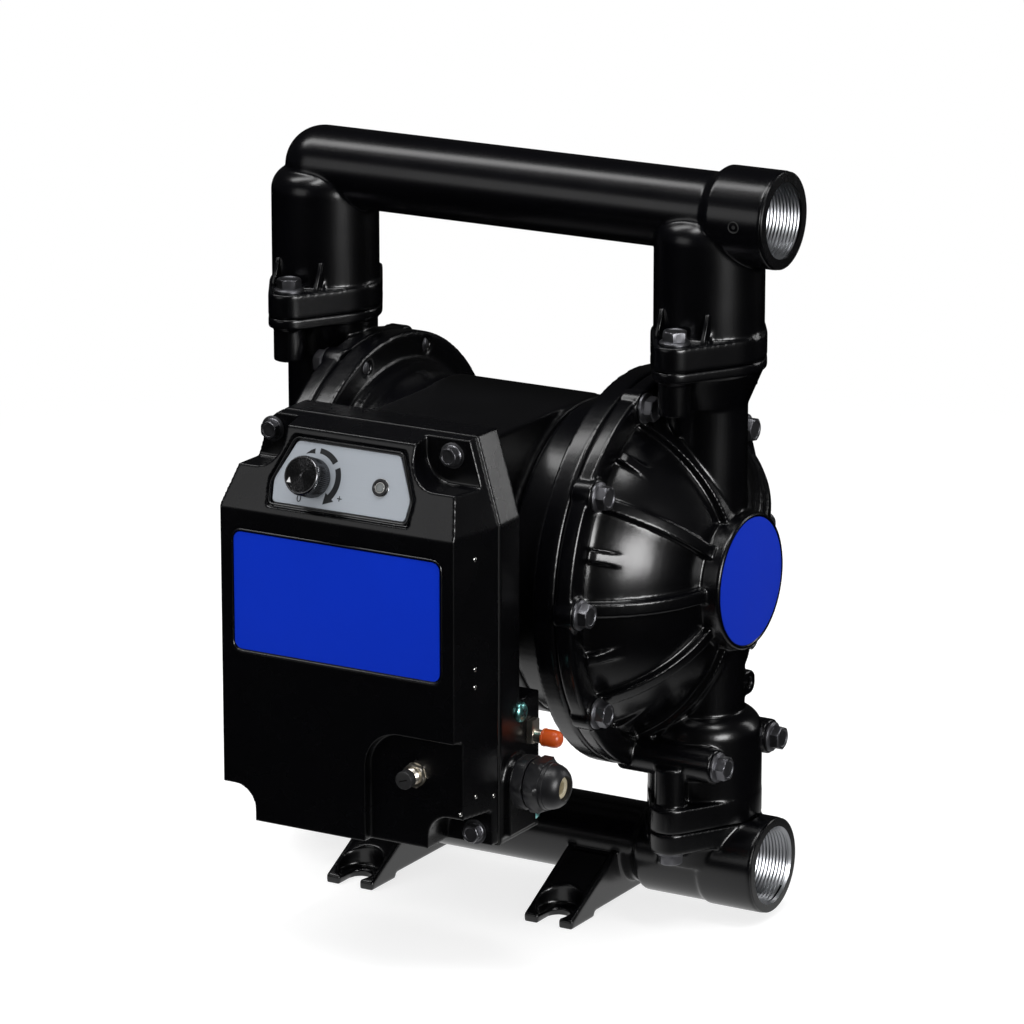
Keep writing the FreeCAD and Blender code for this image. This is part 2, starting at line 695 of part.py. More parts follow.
def fluid_cover(label):
    """Outer pump casing: clamped flange, ribbed dome and hub, with the liquid's upright neck."""
    part = new_body(label, z="pump_axis_height")
    joint_top = "(upper_joint_height - pump_axis_height)"
    joint_low = "(lower_joint_height - pump_axis_height)"
    start, middle, end = dome_arc()
    shell = outline(part, "shell_profile", "XZ_Plane", [
        ("clamp_face", "0"),
        ("clamp_face", "cover_radius - cover_edge"),
        ("clamp_face + cover_edge", "cover_radius"),
        (f"{FLANGE_FRONT} - cover_edge", "cover_radius"),
        (FLANGE_FRONT, "cover_radius - cover_edge"),
        (FLANGE_FRONT, "cover_step_radius"),
        (f"{FLANGE_FRONT} - cover_step_height", "cover_step_radius - cover_step_height"),
        start,
        end,
        ("hub_face - cover_edge", "hub_radius"),
        ("hub_face", "hub_radius - cover_edge"),
        ("hub_face", "0"),
    ], {7: middle})
    turned(part, "Revolution", shell)
    neck = circles(part, "neck", "XY_Plane", [("0", "0")], "neck_radius", right="riser_offset")
    slab(part, "Pad", neck, joint_low, joint_top)
    dome_top = "(cage_dome_top - pump_axis_height)"
    cage = outline(part, "cage_profile", "XZ_Plane", [
        ("0", joint_low),
        ("cage_dome_radius", joint_low),
        ("cage_dome_radius", dome_top),
        ("cage_dome_radius - cage_dome_rounding", f"{dome_top} + cage_dome_rounding"),
        ("0", f"{dome_top} + cage_dome_rounding"),
    ], {2: ("cage_dome_radius - cage_dome_rounding * (1 - sqrt(0.5))",
            f"{dome_top} + cage_dome_rounding * sqrt(0.5)")}, right="riser_offset")
    turned(part, "Revolution", cage, "V_Axis")
    flare = outline(part, "flare_profile", "XZ_Plane", [
        ("0", joint_top),
        ("flange_radius - cover_edge", joint_top),
        ("flange_radius - cover_edge", f"{joint_top} - cover_top_flange_thickness"),
        ("neck_radius", f"{joint_top} - cover_top_flange_thickness - ear_boss_length"),
        ("0", f"{joint_top} - cover_top_flange_thickness - ear_boss_length"),
    ], right="riser_offset")
    turned(part, "Revolution", flare, "V_Axis")
    flange_plate(part, "top", "", f"{joint_top} - cover_top_flange_thickness", joint_top)
    flange_plate(part, "foot", "", joint_low, f"{joint_low} + cover_foot_flange_thickness")
    bosses = circles(part, "ear_bosses", "XY_Plane", EARS, "ear_boss_radius", right="riser_offset")
    slab(part, "Pad", bosses, f"{joint_top} - cover_top_flange_thickness - ear_boss_length + cover_edge", joint_top)
    columns = circles(part, "ear_columns", "XY_Plane", EARS, "ear_boss_radius", right="riser_offset")
    slab(part, "Pad", columns, joint_low, f"{joint_low} + cover_foot_flange_thickness + ear_column_length")
    rib = outline(part, "main_rib_profile", "XZ_Plane", [
        (f"{FLANGE_FRONT} - cover_step_height", "dome_radius - cover_wall"),
        (f"{FLANGE_FRONT} - cover_step_height", "cover_step_radius - cover_edge"),
        (f"{FLANGE_FRONT} + main_rib_height", "dome_radius + main_rib_height / 2"),
        ("hub_start + main_rib_height", "hub_radius"),
        ("hub_start + main_rib_height", "hub_radius - cover_wall"),
    ], {2: (f"{middle[0]} + main_rib_height / 2", f"{middle[1]} + main_rib_height * 0.8")}, tilt=HALF_STEP)
    ribs = slab(part, "Pad", rib, "-main_rib_width / 2", "main_rib_width / 2")
    tie(rib, AttachmentOffset__Base__z="0")
    around(part, [ribs], "cover_bolt_count")
    short = outline(part, "short_rib_profile", "XZ_Plane", [
        (f"{FLANGE_FRONT} - cover_step_height", "dome_radius - cover_wall"),
        (f"{FLANGE_FRONT} - cover_step_height", "cover_step_radius"),
        (f"{FLANGE_FRONT} + short_rib_height", "dome_radius + short_rib_height / 2"),
        (middle[0], middle[1]),
        (f"{middle[0]} - cover_wall", f"{middle[1]} - cover_wall"),
    ])
    shorts = slab(part, "Pad", short, "-short_rib_width / 2", "short_rib_width / 2")
    around(part, [shorts], "cover_bolt_count")
    lobe = circles(part, "lobe", "YZ_Plane", [("cover_bolt_circle", "0")], "cover_lobe_radius")
    lobes = slab(part, "Pad", lobe, "clamp_face", BOLT_SEAT)
    around(part, [lobes], "cover_bolt_count")
    spread = f"cover_bolt_circle * sin({HALF_STEP})"
    drop = f"-cover_bolt_circle * cos({HALF_STEP})"
    long_bosses = circles(part, "long_bosses", "YZ_Plane", [(spread, drop), ("-" + spread, drop)], "long_boss_radius")
    slab(part, "Pad", long_bosses, "clamp_face", "long_boss_face")
    lug_place = ("lug_side_offset", "lug_height - pump_axis_height")
    lug = circles(part, "lug", "YZ_Plane", [lug_place], "lug_radius")
    slab(part, "Pad", lug, "riser_offset", "long_boss_face - ear_boss_radius / 2")
    inner_start, inner_middle, inner_end = dome_arc("cover_wall")
    pocket = "(clamp_face + diaphragm_thickness + diaphragm_gap)"
    chamber = outline(part, "chamber_profile", "XZ_Plane", [
        ("clamp_face - cover_edge", "0"),
        ("clamp_face - cover_edge", "diaphragm_radius + diaphragm_gap"),
        (pocket, "diaphragm_radius + diaphragm_gap"),
        (pocket, "dome_radius - cover_wall"),
        inner_start,
        inner_end,
        (inner_end[0], "0"),
    ], {4: inner_middle})
    turned(part, "Groove", chamber)
    bored(part, "neck_bore", "XY_Plane", [("0", "0")], PASSAGE, joint_low, joint_top, right="riser_offset")
    seat_top = f"({joint_low} + seat_thickness)"
    bored(part, "cage_bore", "XY_Plane", [("0", "0")], CAGE_RADIUS, seat_top, f"{seat_top} + {CAGE_DEPTH}",
          right="riser_offset")
    bored(part, "lower_seat_pocket", "XY_Plane", [("0", "0")], SEAT_POCKET, joint_low, seat_top,
          right="riser_offset")
    bored(part, "upper_seat_pocket", "XY_Plane", [("0", "0")], SEAT_POCKET, f"{joint_top} - seat_thickness",
          joint_top, right="riser_offset")
    bored(part, "upper_ear_holes", "XY_Plane", EARS, "bolt_radius", f"{joint_top} - bolt_thread_grip", joint_top,
          right="riser_offset")
    bored(part, "lower_ear_holes", "XY_Plane", EARS, "bolt_radius", joint_low, f"{joint_low} + bolt_thread_grip",
          right="riser_offset")
    bored(part, "lug_hole", "YZ_Plane", [lug_place], "lug_hole_radius", "hub_start", "long_boss_face")
    hole = bored(part, "bolt_hole", "YZ_Plane", [("cover_bolt_circle", "0")], BOLT_HOLE, "clamp_face", "long_boss_face")
    around(part, [hole], "cover_bolt_count")
    bored(part, "badge_pocket", "YZ_Plane", [("0", "0")], "badge_radius + diaphragm_gap", "hub_face - badge_recess",
          "hub_face")
    return part


def air_cover(label):
    """Inner casing half: the rim that clamps the diaphragm and the end bell that carries the rotor."""
    part = new_body(label, z="pump_axis_height")
    spigot = "(housing_bore_radius - thread_gap)"
    shell = outline(part, "shell_profile", "XZ_Plane", [
        ("housing_end - spigot_length", spigot),
        ("housing_end", spigot),
        ("housing_end", "housing_radius - cover_edge"),
        ("housing_end + cover_edge", "housing_radius"),
        ("rim_step - cover_edge * 3", "housing_radius"),
        ("rim_step", "rim_step_radius"),
        ("rim_back", "rim_step_radius"),
        ("rim_back", "cover_radius"),
        ("clamp_face - cover_edge", "cover_radius"),
        ("clamp_face", "cover_radius - cover_edge"),
        ("clamp_face", "dish_mouth_radius"),
        ("dish_floor", "dish_radius"),
        ("dish_floor", "screw_radius + bushing_wall"),
        ("hub_back", "screw_radius + bushing_wall"),
        ("hub_back", "bearing_seat_radius"),
        ("web_back", "bearing_seat_radius"),
        ("web_back", f"{spigot} - spigot_wall"),
        ("housing_end - spigot_length", f"{spigot} - spigot_wall"),
    ], {10: ("clamp_face - (clamp_face - dish_floor) * 0.7", "dish_radius + (dish_mouth_radius - dish_radius) * 0.55")})
    turned(part, "Revolution", shell)
    hole = bored(part, "bolt_hole", "YZ_Plane", [("cover_bolt_circle", "0")], "bolt_radius", "rim_back", "clamp_face")
    around(part, [hole], "cover_bolt_count")
    return part


def motor_housing():
    """Round motor casing with the square neck that carries the control box."""
    part = new_body("motor_housing", z="pump_axis_height")
    barrel = circles(part, "barrel", "YZ_Plane", [("0", "0")], "housing_radius")
    slab(part, "Pad", barrel, "-housing_end", "housing_end")
    neck = outline(part, "neck_outline", "XZ_Plane", [
        ("-neck_half_width", "-neck_bottom"),
        ("neck_half_width", "-neck_bottom"),
        ("neck_half_width", "housing_radius"),
        ("-neck_half_width", "housing_radius"),
    ])
    slab(part, "Pad", neck, "-housing_back", "neck_back")
    passage = outline(part, "neck_passage", "XZ_Plane", [
        ("-neck_half_width + neck_wall", "-neck_bottom + neck_wall"),
        ("neck_half_width - neck_wall", "-neck_bottom + neck_wall"),
        ("neck_half_width - neck_wall", "housing_radius - neck_wall"),
        ("-neck_half_width + neck_wall", "housing_radius - neck_wall"),
    ])
    slab(part, "Pocket", passage, "-housing_back", "-neck_half_width")
    bored(part, "barrel_bore", "YZ_Plane", [("0", "0")], "housing_bore_radius", "-housing_end", "housing_end")
    bored(part, "neck_screw_holes", "XZ_Plane", HOUSING_SCREWS, "box_bolt_radius", "-housing_back",
          "-housing_back + bolt_thread_grip")
    return part


SCREW_SPREAD = "(neck_half_width - neck_wall / 2)"
HOUSING_SCREWS = [(side + SCREW_SPREAD, rise) for side in ("-", "")
                  for rise in ("-housing_screw_rise", "housing_screw_rise + neck_bottom")]


def turned_piece(label, corners, through=None):
    """Piece turned from one profile about the pump axis."""
    part = new_body(label, z="pump_axis_height")
    turned(part, "Revolution", outline(part, label + "_profile", "XZ_Plane", corners, through))
    return part


def ring_pair(label, low, high, inner, outer):
    """Two equal rings on the pump axis, one at each end, in one node."""
    part = new_body(label, z="pump_axis_height", several=True)
    section = outline(part, label + "_section", "XZ_Plane", ring(low, high, inner, outer))
    mirrored(part, [turned(part, "Revolution", section)], "YZ_Plane")
    return part


def ring(low, high, inner, outer):
    """Rectangular section of a plain ring or bush."""
    return [(low, inner), (high, inner), (high, outer), (low, outer)]


DIAPHRAGM_FACE = "(clamp_face + diaphragm_gap / 2)"
DIAPHRAGM_BACK = f"({DIAPHRAGM_FACE} + diaphragm_thickness)"
PLATE_FACE = f"({DIAPHRAGM_BACK} + diaphragm_gap)"


def diaphragm(label):
    """Flexible disc with one rolled convolution, clamped at its rim and at its middle."""
    half = "(convolution_outer_radius + convolution_inner_radius) / 2"
    return turned_piece(label, [
        (DIAPHRAGM_FACE, "stud_radius + diaphragm_gap"),
        (DIAPHRAGM_FACE, "convolution_inner_radius"),
        (DIAPHRAGM_FACE, "convolution_outer_radius"),
        (DIAPHRAGM_FACE, "diaphragm_radius"),
        (DIAPHRAGM_BACK, "diaphragm_radius"),
        (DIAPHRAGM_BACK, "convolution_outer_radius"),
        (DIAPHRAGM_BACK, "convolution_inner_radius"),
        (DIAPHRAGM_BACK, "stud_radius + diaphragm_gap"),
    ], {1: (f"{DIAPHRAGM_FACE} - convolution_depth", half), 5: (f"{DIAPHRAGM_BACK} - convolution_depth", half)})


def air_plate(label):
    """Dished plate on the dry side of a diaphragm, against the shaft's shoulder."""
    face = f"({DIAPHRAGM_FACE} - diaphragm_gap)"
    return turned_piece(label, [
        ("shaft_shoulder", "stud_radius + running_gap"),
        (face, "stud_radius + running_gap"),
        (face, "air_plate_radius"),
        (f"{face} - air_plate_rim", "air_plate_radius"),
        ("shaft_shoulder", "screw_radius * 2"),
    ])


def fluid_plate(label):
    """Domed plate on the wet side of a diaphragm."""
    return turned_piece(label, [
        (PLATE_FACE, "stud_radius + running_gap"),
        (PLATE_FACE, "fluid_plate_radius"),
        (f"{PLATE_FACE} + fluid_plate_thickness / 4", "fluid_plate_radius"),
        (f"{PLATE_FACE} + fluid_plate_thickness", "plate_nut_across"),
        (f"{PLATE_FACE} + fluid_plate_thickness", "stud_radius + running_gap"),
    ], {2: (f"{PLATE_FACE} + fluid_plate_thickness * 0.8", "(fluid_plate_radius + plate_nut_across) / 2")})


def badge(label):
    """Bare round plate let into the hub of a fluid cover."""
    return turned_piece(label, [
        ("hub_face - badge_recess", "0"),
        ("hub_face - badge_recess", "badge_radius"),
        ("hub_face - badge_recess + badge_thickness", "badge_radius"),
        ("hub_face - badge_recess + badge_thickness", "0"),
    ])


def plate_nuts():
    """Hexagon nuts that hold the plates on the shaft's two studs."""
    part = new_body("plate_nuts", z="pump_axis_height", several=True)
    face = f"({PLATE_FACE} + fluid_plate_thickness)"
    sketch = outline(part, "nut_outline", "YZ_Plane", hexagon("plate_nut_across"))
    nut = slab(part, "Pad", sketch, face, f"{face} + plate_nut_height")
    hole = bored(part, "nut_bore", "YZ_Plane", [("0", "0")], "stud_radius + running_gap", face,
                 f"{face} + plate_nut_height")
    mirrored(part, [nut, hole], "YZ_Plane")


def cover_bolts(label):
    """Ten flange bolts of one fluid cover, the lower two long ones in their own bosses."""
    part = new_body(label, z="pump_axis_height", several=True)
    tip = "(rim_back + bolt_radius)"

    def one_bolt(name, seat, y, z, tilt):
        """Shank, washer flange and hexagon head of one bolt."""
        bolt = outline(part, name + "_profile", "XY_Plane", [
            (tip, "0"),
            (tip, "bolt_radius - thread_gap"),
            (seat, "bolt_radius - thread_gap"),
            (seat, "bolt_flange_radius"),
            (f"{seat} + bolt_flange_thickness", "bolt_flange_radius"),
            (f"{seat} + bolt_flange_thickness", "0"),
        ], up=y, out=z, tilt=tilt)
        shank = turned(part, "Revolution", bolt)
        head = outline(part, name + "_head", "YZ_Plane", hexagon("bolt_head_across", f"({y})", f"({z})"))
        cap = slab(part, "Pad", head, seat, f"{seat} + bolt_flange_thickness + bolt_head_height")
        return [shank, cap]

    short = one_bolt("short_bolt", BOLT_SEAT, f"cover_bolt_circle * cos({FULL_STEP})",
                     f"-cover_bolt_circle * sin({FULL_STEP})", f"-{FULL_STEP}")
    around(part, short, "cover_bolt_count - 2", f"{FULL_STEP} * (cover_bolt_count - 3)")
    long_one = one_bolt("long_bolt", "long_boss_face", f"cover_bolt_circle * sin({HALF_STEP})",
                        f"-cover_bolt_circle * cos({HALF_STEP})", "0")
    mirrored(part, long_one, "XZ_Plane")
    return part


def joint_bolts(label, head_side, way):
    """Four bolts of the upper or the lower pair of flanged joints."""
    part = new_body(label, z=head_side, several=True)
    grip = "outlet_flange_thickness" if way == "+" else "inlet_flange_thickness"
    seat = f"({way}{grip})"
    tip = f"({'-' if way == '+' else '+'}(bolt_thread_grip - bolt_flange_thickness))"
    collar = f"({seat} {way} bolt_flange_thickness)"
    for side_name, side in (("left", "-"), ("right", "")):
        for ear_name, ear in (("front", "-"), ("rear", "")):
            name = f"{side_name}_{ear_name}"
            shank = outline(part, name + "_shank", "XZ_Plane", [
                ("0", tip),
                ("bolt_radius - thread_gap", tip),
                ("bolt_radius - thread_gap", seat),
                ("bolt_flange_radius", seat),
                ("bolt_flange_radius", collar),
                ("0", collar),
            ], right=side + "riser_offset", out=("" if ear == "-" else "-") + "ear_offset")
            turned(part, "Revolution", shank, "V_Axis")
            head = outline(part, name + "_head", "XY_Plane",
                           hexagon("bolt_head_across", f"({side}riser_offset)", f"({ear}ear_offset)"))
            top = f"{collar} {way} bolt_head_height"
            slab(part, "Pad", head, seat if way == "+" else top, top if way == "+" else seat)
    return part


def valves(level, joint, seals):
    """Both ball seats, seal rings and check balls of the upper or lower joint."""
    seats = new_body(f"{level}_ball_seats", z=joint, several=True)
    groove = "(seal_cord_radius + thread_gap * 2)"
    for name, side in (("left", "-"), ("right", "")):
        seat = outline(seats, name + "_seat_profile", "XZ_Plane", [
            (SEAT_BORE, "-seat_thickness"),
            ("seat_radius", "-seat_thickness"),
            ("seat_radius", "0"),
            (f"seal_ring_radius + {groove}", "0"),
            (f"seal_ring_radius + {groove}", f"-2 * {groove}"),
            (f"seal_ring_radius - {groove}", f"-2 * {groove}"),
            (f"seal_ring_radius - {groove}", "0"),
            (f"{SEAT_BORE} + seat_chamfer", "0"),
            (SEAT_BORE, "-seat_chamfer"),
        ], right=side + "riser_offset")
        turned(seats, "Revolution", seat, "V_Axis")
        cord = circles(seals, f"{name}_{level}_seal_section", "XZ_Plane", [("seal_ring_radius", f"-{groove}")],
                       "seal_cord_radius", right=side + "riser_offset", up=joint)
        turned(seals, "Revolution", cord, "V_Axis")
        ball = new_body(f"{name}_{level}_ball", x=side + "riser_offset", z=f"{joint} + {BALL_RISE}")
        half = outline(ball, "ball_profile", "XZ_Plane", [("0", "-ball_radius"), ("0", "ball_radius")],
                       {0: ("ball_radius", "0")})
        turned(ball, "Revolution", half, "V_Axis")


def motor():
    """Stator, coils, magnet rotor, drive nut and the screw shaft that slides through it."""
    core = new_body("stator_core", z="pump_axis_height")
    yoke = circles(core, "yoke", "YZ_Plane", [("0", "0")], "housing_bore_radius - thread_gap",
                   "housing_bore_radius - stator_yoke")
    slab(core, "Pad", yoke, "-stator_half_length", "stator_half_length")
    tooth = outline(core, "tooth", "YZ_Plane", [
        ("air_gap_radius", "-stator_tooth_width / 2"),
        ("housing_bore_radius - stator_yoke / 2", "-stator_tooth_width / 2"),
        ("housing_bore_radius - stator_yoke / 2", "stator_tooth_width / 2"),
        ("air_gap_radius", "stator_tooth_width / 2"),
    ])
    teeth = slab(core, "Pad", tooth, "-stator_half_length", "stator_half_length")
    around(core, [teeth], "stator_tooth_count")
    coils = new_body("stator_coils", z="pump_axis_height", several=True)
    slot = "(sqrt((housing_bore_radius - stator_yoke) ^ 2 - (coil_width / 2) ^ 2) - thread_gap * 6)"
    winding = outline(coils, "winding", "XZ_Plane", [
        ("-stator_half_length - coil_overhang", f"{slot} - coil_height"),
        ("stator_half_length + coil_overhang", f"{slot} - coil_height"),
        ("stator_half_length + coil_overhang", slot),
        ("-stator_half_length - coil_overhang", slot),
    ])
    loop = slab(coils, "Pad", winding, "-coil_width / 2", "coil_width / 2")
    window = outline(coils, "window", "XZ_Plane", [
        ("-stator_half_length - running_gap", f"{slot} - coil_height"),
        ("stator_half_length + running_gap", f"{slot} - coil_height"),
        ("stator_half_length + running_gap", slot),
        ("-stator_half_length - running_gap", slot),
    ])
    hole = slab(coils, "Pocket", window, "-stator_tooth_width / 2 - running_gap",
                "stator_tooth_width / 2 + running_gap")
    around(coils, [loop, hole], "stator_tooth_count")
    drum = "(air_gap_radius - rotor_gap - magnet_thickness - thread_gap)"
    bore = "(nut_radius + thread_gap)"
    turned_piece("rotor_drum", [
        ("-rotor_end", "bearing_outer_radius"),
        ("-rotor_end", "rotor_end_radius"),
        ("-stator_half_length - rotor_wall / 2", "rotor_end_radius"),
        ("-stator_half_length - rotor_wall / 2", drum),
        ("stator_half_length + rotor_wall / 2", drum),
        ("stator_half_length + rotor_wall / 2", "rotor_end_radius"),
        ("rotor_end", "rotor_end_radius"),
        ("rotor_end", "bearing_outer_radius"),
        ("bearing_start", "bearing_outer_radius"),
        ("bearing_start", "rotor_cavity_radius"),
        ("rotor_web_half_length", "rotor_cavity_radius"),
        ("rotor_web_half_length", bore),
        ("-rotor_web_half_length", bore),
        ("-rotor_web_half_length", "rotor_cavity_radius"),
        ("-bearing_start", "rotor_cavity_radius"),
        ("-bearing_start", "bearing_outer_radius"),
    ])
    magnets = new_body("rotor_magnets", z="pump_axis_height", several=True)
    inner = f"({drum} + thread_gap)"
    outer = "(air_gap_radius - rotor_gap)"
    spread = "(150 / magnet_count)"
    magnet = outline(magnets, "magnet", "YZ_Plane", [
        (f"{outer} * cos({spread})", f"-{outer} * sin({spread})"),
        (f"{outer} * cos({spread})", f"{outer} * sin({spread})"),
        (f"{inner} * cos({spread})", f"{inner} * sin({spread})"),
        (f"{inner} * cos({spread})", f"-{inner} * sin({spread})"),
    ], {0: (outer, "0"), 2: (inner, "0")})
    around(magnets, [slab(magnets, "Pad", magnet, "-magnet_half_length", "magnet_half_length")], "magnet_count")
    turned_piece("drive_nut", ring("-nut_half_length", "nut_half_length", "screw_radius + running_gap", "nut_radius"))
    turned_piece("drive_screw", [
        ("-stud_end", "0"),
        ("-stud_end", "stud_radius"),
        ("-shaft_shoulder", "stud_radius"),
        ("-shaft_shoulder", "screw_radius"),
        ("shaft_shoulder", "screw_radius"),
        ("shaft_shoulder", "stud_radius"),
        ("stud_end", "stud_radius"),
        ("stud_end", "0"),
    ])


def box_outline(inset="0"):
    """Outline of the control box seen from the front, with its sides drawn in at the top."""
    return [
        (f"-box_left_width + {inset}", f"box_bottom + {inset}"),
        (f"box_right_width - {inset}", f"box_bottom + {inset}"),
        (f"box_right_width - {inset}", "box_taper_start"),
        (f"box_right_top_width - {inset}", f"box_top - {inset}"),
        (f"-box_left_top_width + box_left_bevel_run + {inset}", f"box_top - {inset}"),
        (f"-box_left_top_width + {inset}", "box_top - box_left_bevel_rise"),
        (f"-box_left_width + {inset}", "box_taper_start"),
    ]


def box_room():
    """Inner outline of the box, which leaves each corner solid for its bolt."""
    half = []
    for side, bolt, width in (("", "foot_bolt_right", "box_right_width"), ("-", "foot_bolt_left", "box_left_width")):
        half.append([
            (f"{side}({bolt} - corner_tab)", "box_bottom + box_wall"),
            (f"{side}({width} - box_wall)", "foot_bolt_height + corner_tab"),
            (f"{side}({width} - box_wall)", "box_taper_start"),
            (f"{side}(corner_bolt_spread - corner_tab)", "box_top - box_wall"),
        ])
    return half[0] + half[1][::-1]


CORNER_BOLTS = [("corner_bolt_spread", "corner_bolt_height"), ("-corner_bolt_spread", "corner_bolt_height")]
FOOT_BOLTS = [("foot_bolt_right", "foot_bolt_height"), ("-foot_bolt_left", "foot_bolt_height")]


DEEP_TOP = "(pump_axis_height - neck_bottom - bolt_hole_gap)"


def control_housing():
    """Rear half of the control box, fixed to the motor neck, with the deeper wiring space below."""
    part = new_body("control_housing")
    slab(part, "Pad", outline(part, "back_outline", "XZ_Plane", box_outline()), "-parting_face + gasket_thickness",
         "-housing_back")
    deep = outline(part, "deep_outline", "XZ_Plane", [
        ("-box_left_width", "box_bottom"),
        ("box_right_width", "box_bottom"),
        ("box_right_width", DEEP_TOP),
        ("-box_left_width", DEEP_TOP),
    ])
    slab(part, "Pad", deep, "-parting_face + gasket_thickness", "-deep_back")
    boss = outline(part, "gland_boss", "YZ_Plane", [
        ("-gland_depth - gland_boss_radius", "box_bottom + box_wall"),
        ("-gland_depth + gland_boss_radius", "box_bottom + box_wall"),
        ("-gland_depth + gland_boss_radius", "gland_height"),
        ("-gland_depth - gland_boss_radius", "gland_height"),
    ], {2: ("-gland_depth", "gland_height + gland_boss_radius")})
    slab(part, "Pad", boss, "box_right_width - box_wall", "box_right_width + gland_boss_length")
    slab(part, "Pocket", outline(part, "room", "XZ_Plane", box_room()), "-parting_face", "-housing_back - box_wall")
    deep_room = outline(part, "deep_room", "XZ_Plane", [
        ("-box_left_width + box_wall", "box_bottom + box_wall"),
        ("box_right_width - box_wall", "box_bottom + box_wall"),
        ("box_right_width - box_wall", f"{DEEP_TOP} - box_wall"),
        ("-box_left_width + box_wall", f"{DEEP_TOP} - box_wall"),
    ])
    slab(part, "Pocket", deep_room, "-housing_back - box_wall", "-deep_back - box_wall")
    bored(part, "cover_bolt_holes", "XZ_Plane", CORNER_BOLTS + FOOT_BOLTS, "box_bolt_radius",
          "-parting_face + gasket_thickness", "-parting_face + gasket_thickness + bolt_thread_grip")
    wire_way = outline(part, "wire_way", "XZ_Plane", [
        ("-neck_half_width + neck_wall", "pump_axis_height - neck_bottom + neck_wall"),
        ("neck_half_width - neck_wall", "pump_axis_height - neck_bottom + neck_wall"),
        ("neck_half_width - neck_wall", "pump_axis_height + housing_radius - neck_wall * 2"),
        ("-neck_half_width + neck_wall", "pump_axis_height + housing_radius - neck_wall * 2"),
    ])
    slab(part, "Pocket", wire_way, "-housing_back - box_wall", "-housing_back")
    bored(part, "neck_screw_holes", "XZ_Plane", [(u, f"pump_axis_height + {v}") for u, v in HOUSING_SCREWS],
          "box_bolt_radius + bolt_hole_gap / 2", "-housing_back - box_wall", "-housing_back")
    bored(part, "gland_hole", "YZ_Plane", [("-gland_depth", "gland_height")], "gland_hole_radius",
          "box_right_width - box_wall", "box_right_width + gland_boss_length")
    bored(part, "elbow_hole", "YZ_Plane", [("-elbow_depth", "elbow_height")], "elbow_radius",
          "box_right_width - box_wall", "box_right_width")
    bored(part, "ground_holes", "YZ_Plane", GROUND_SPOTS, "ground_shank_radius + thread_gap",
          "box_right_width - box_wall", "box_right_width")
    return part


GROUND_SPOTS = [("-ground_high_depth", "ground_high_height"), ("-ground_low_depth", "ground_low_height")]
SLOPE = {"y": "-front_face", "z": "slope_start", "axis": (1, 0, 0), "angle": SLOPE_ANGLE}


SLOPE_RATE = "(slope_run / (slope_top - slope_start))"
SHELF = "(corner_bolt_height - corner_pocket_radius - box_wall)"


def slope_back(height):
    """Inner side of the sloped wall at one height."""
    return f"-front_face + box_wall * sqrt(1 + {SLOPE_RATE} ^ 2) + ({height} - slope_start) * {SLOPE_RATE}"


def panel_outline(border="0"):
    """Six-sided panel on the sloped face, measured up the slope from its lower bend."""
    return [
        (f"-panel_low_half_width - {border}", f"panel_low - {border}"),
        (f"panel_low_half_width + {border}", f"panel_low - {border}"),
        (f"panel_mid_half_width + {border}", "panel_mid"),
        (f"panel_top_half_width + {border}", f"panel_high + {border}"),
        (f"-panel_top_half_width - {border}", f"panel_high + {border}"),
        (f"-panel_mid_half_width - {border}", "panel_mid"),
    ]


def plate_outline(grow="0"):
    """Rectangle with rounded corners for the blank front plate or its recess."""
    left, right = f"(-plate_half_width - {grow})", f"(plate_half_width + {grow})"
    low, high = f"(plate_bottom - {grow})", f"(plate_top + {grow})"
    bend = f"(plate_corner_radius + {grow})"
    sag = f"{bend} * (1 - sqrt(0.5))"
    corners = [(f"{left} + {bend}", low), (f"{right} - {bend}", low), (right, f"{low} + {bend}"),
               (right, f"{high} - {bend}"), (f"{right} - {bend}", high), (f"{left} + {bend}", high),
               (left, f"{high} - {bend}"), (left, f"{low} + {bend}")]
    through = {1: (f"{right} - {sag}", f"{low} + {sag}"), 3: (f"{right} - {sag}", f"{high} - {sag}"),
               5: (f"{left} + {sag}", f"{high} - {sag}"), 7: (f"{left} + {sag}", f"{low} + {sag}")}
    return corners, through


CORNER_SEAT = "(-parting_face - corner_flange_thickness)"
LOWER_ROOM_TOP = "(foot_pocket_height + foot_pocket_radius + box_wall)"
LOWER_ROOM_HALF = "(foot_pocket_spread - foot_pocket_radius - box_wall)"


def corner_pocket(part, name, across, height, radius, rise, open_end):
    """Open corner of the front cover that leaves a bolt head free, on the left and the right."""
    for prefix, side in (("left", "-"), ("right", "")):
        far = f"{side}(box_right_width + box_wall)"
        inner = f"{side}({across} - {radius})"
        shape = outline(part, f"{prefix}_{name}", "XZ_Plane", [
            (f"{side}{across}", f"{height} {rise} {radius}"),
            (far, f"{height} {rise} {radius}"),
            (far, open_end),
            (inner, open_end),
            (inner, height),
        ], {4: (f"{side}({across} - {radius} * sqrt(0.5))", f"{height} {rise} {radius} * sqrt(0.5)")})
        slab(part, "Pocket", shape, "-front_face - box_wall", CORNER_SEAT)


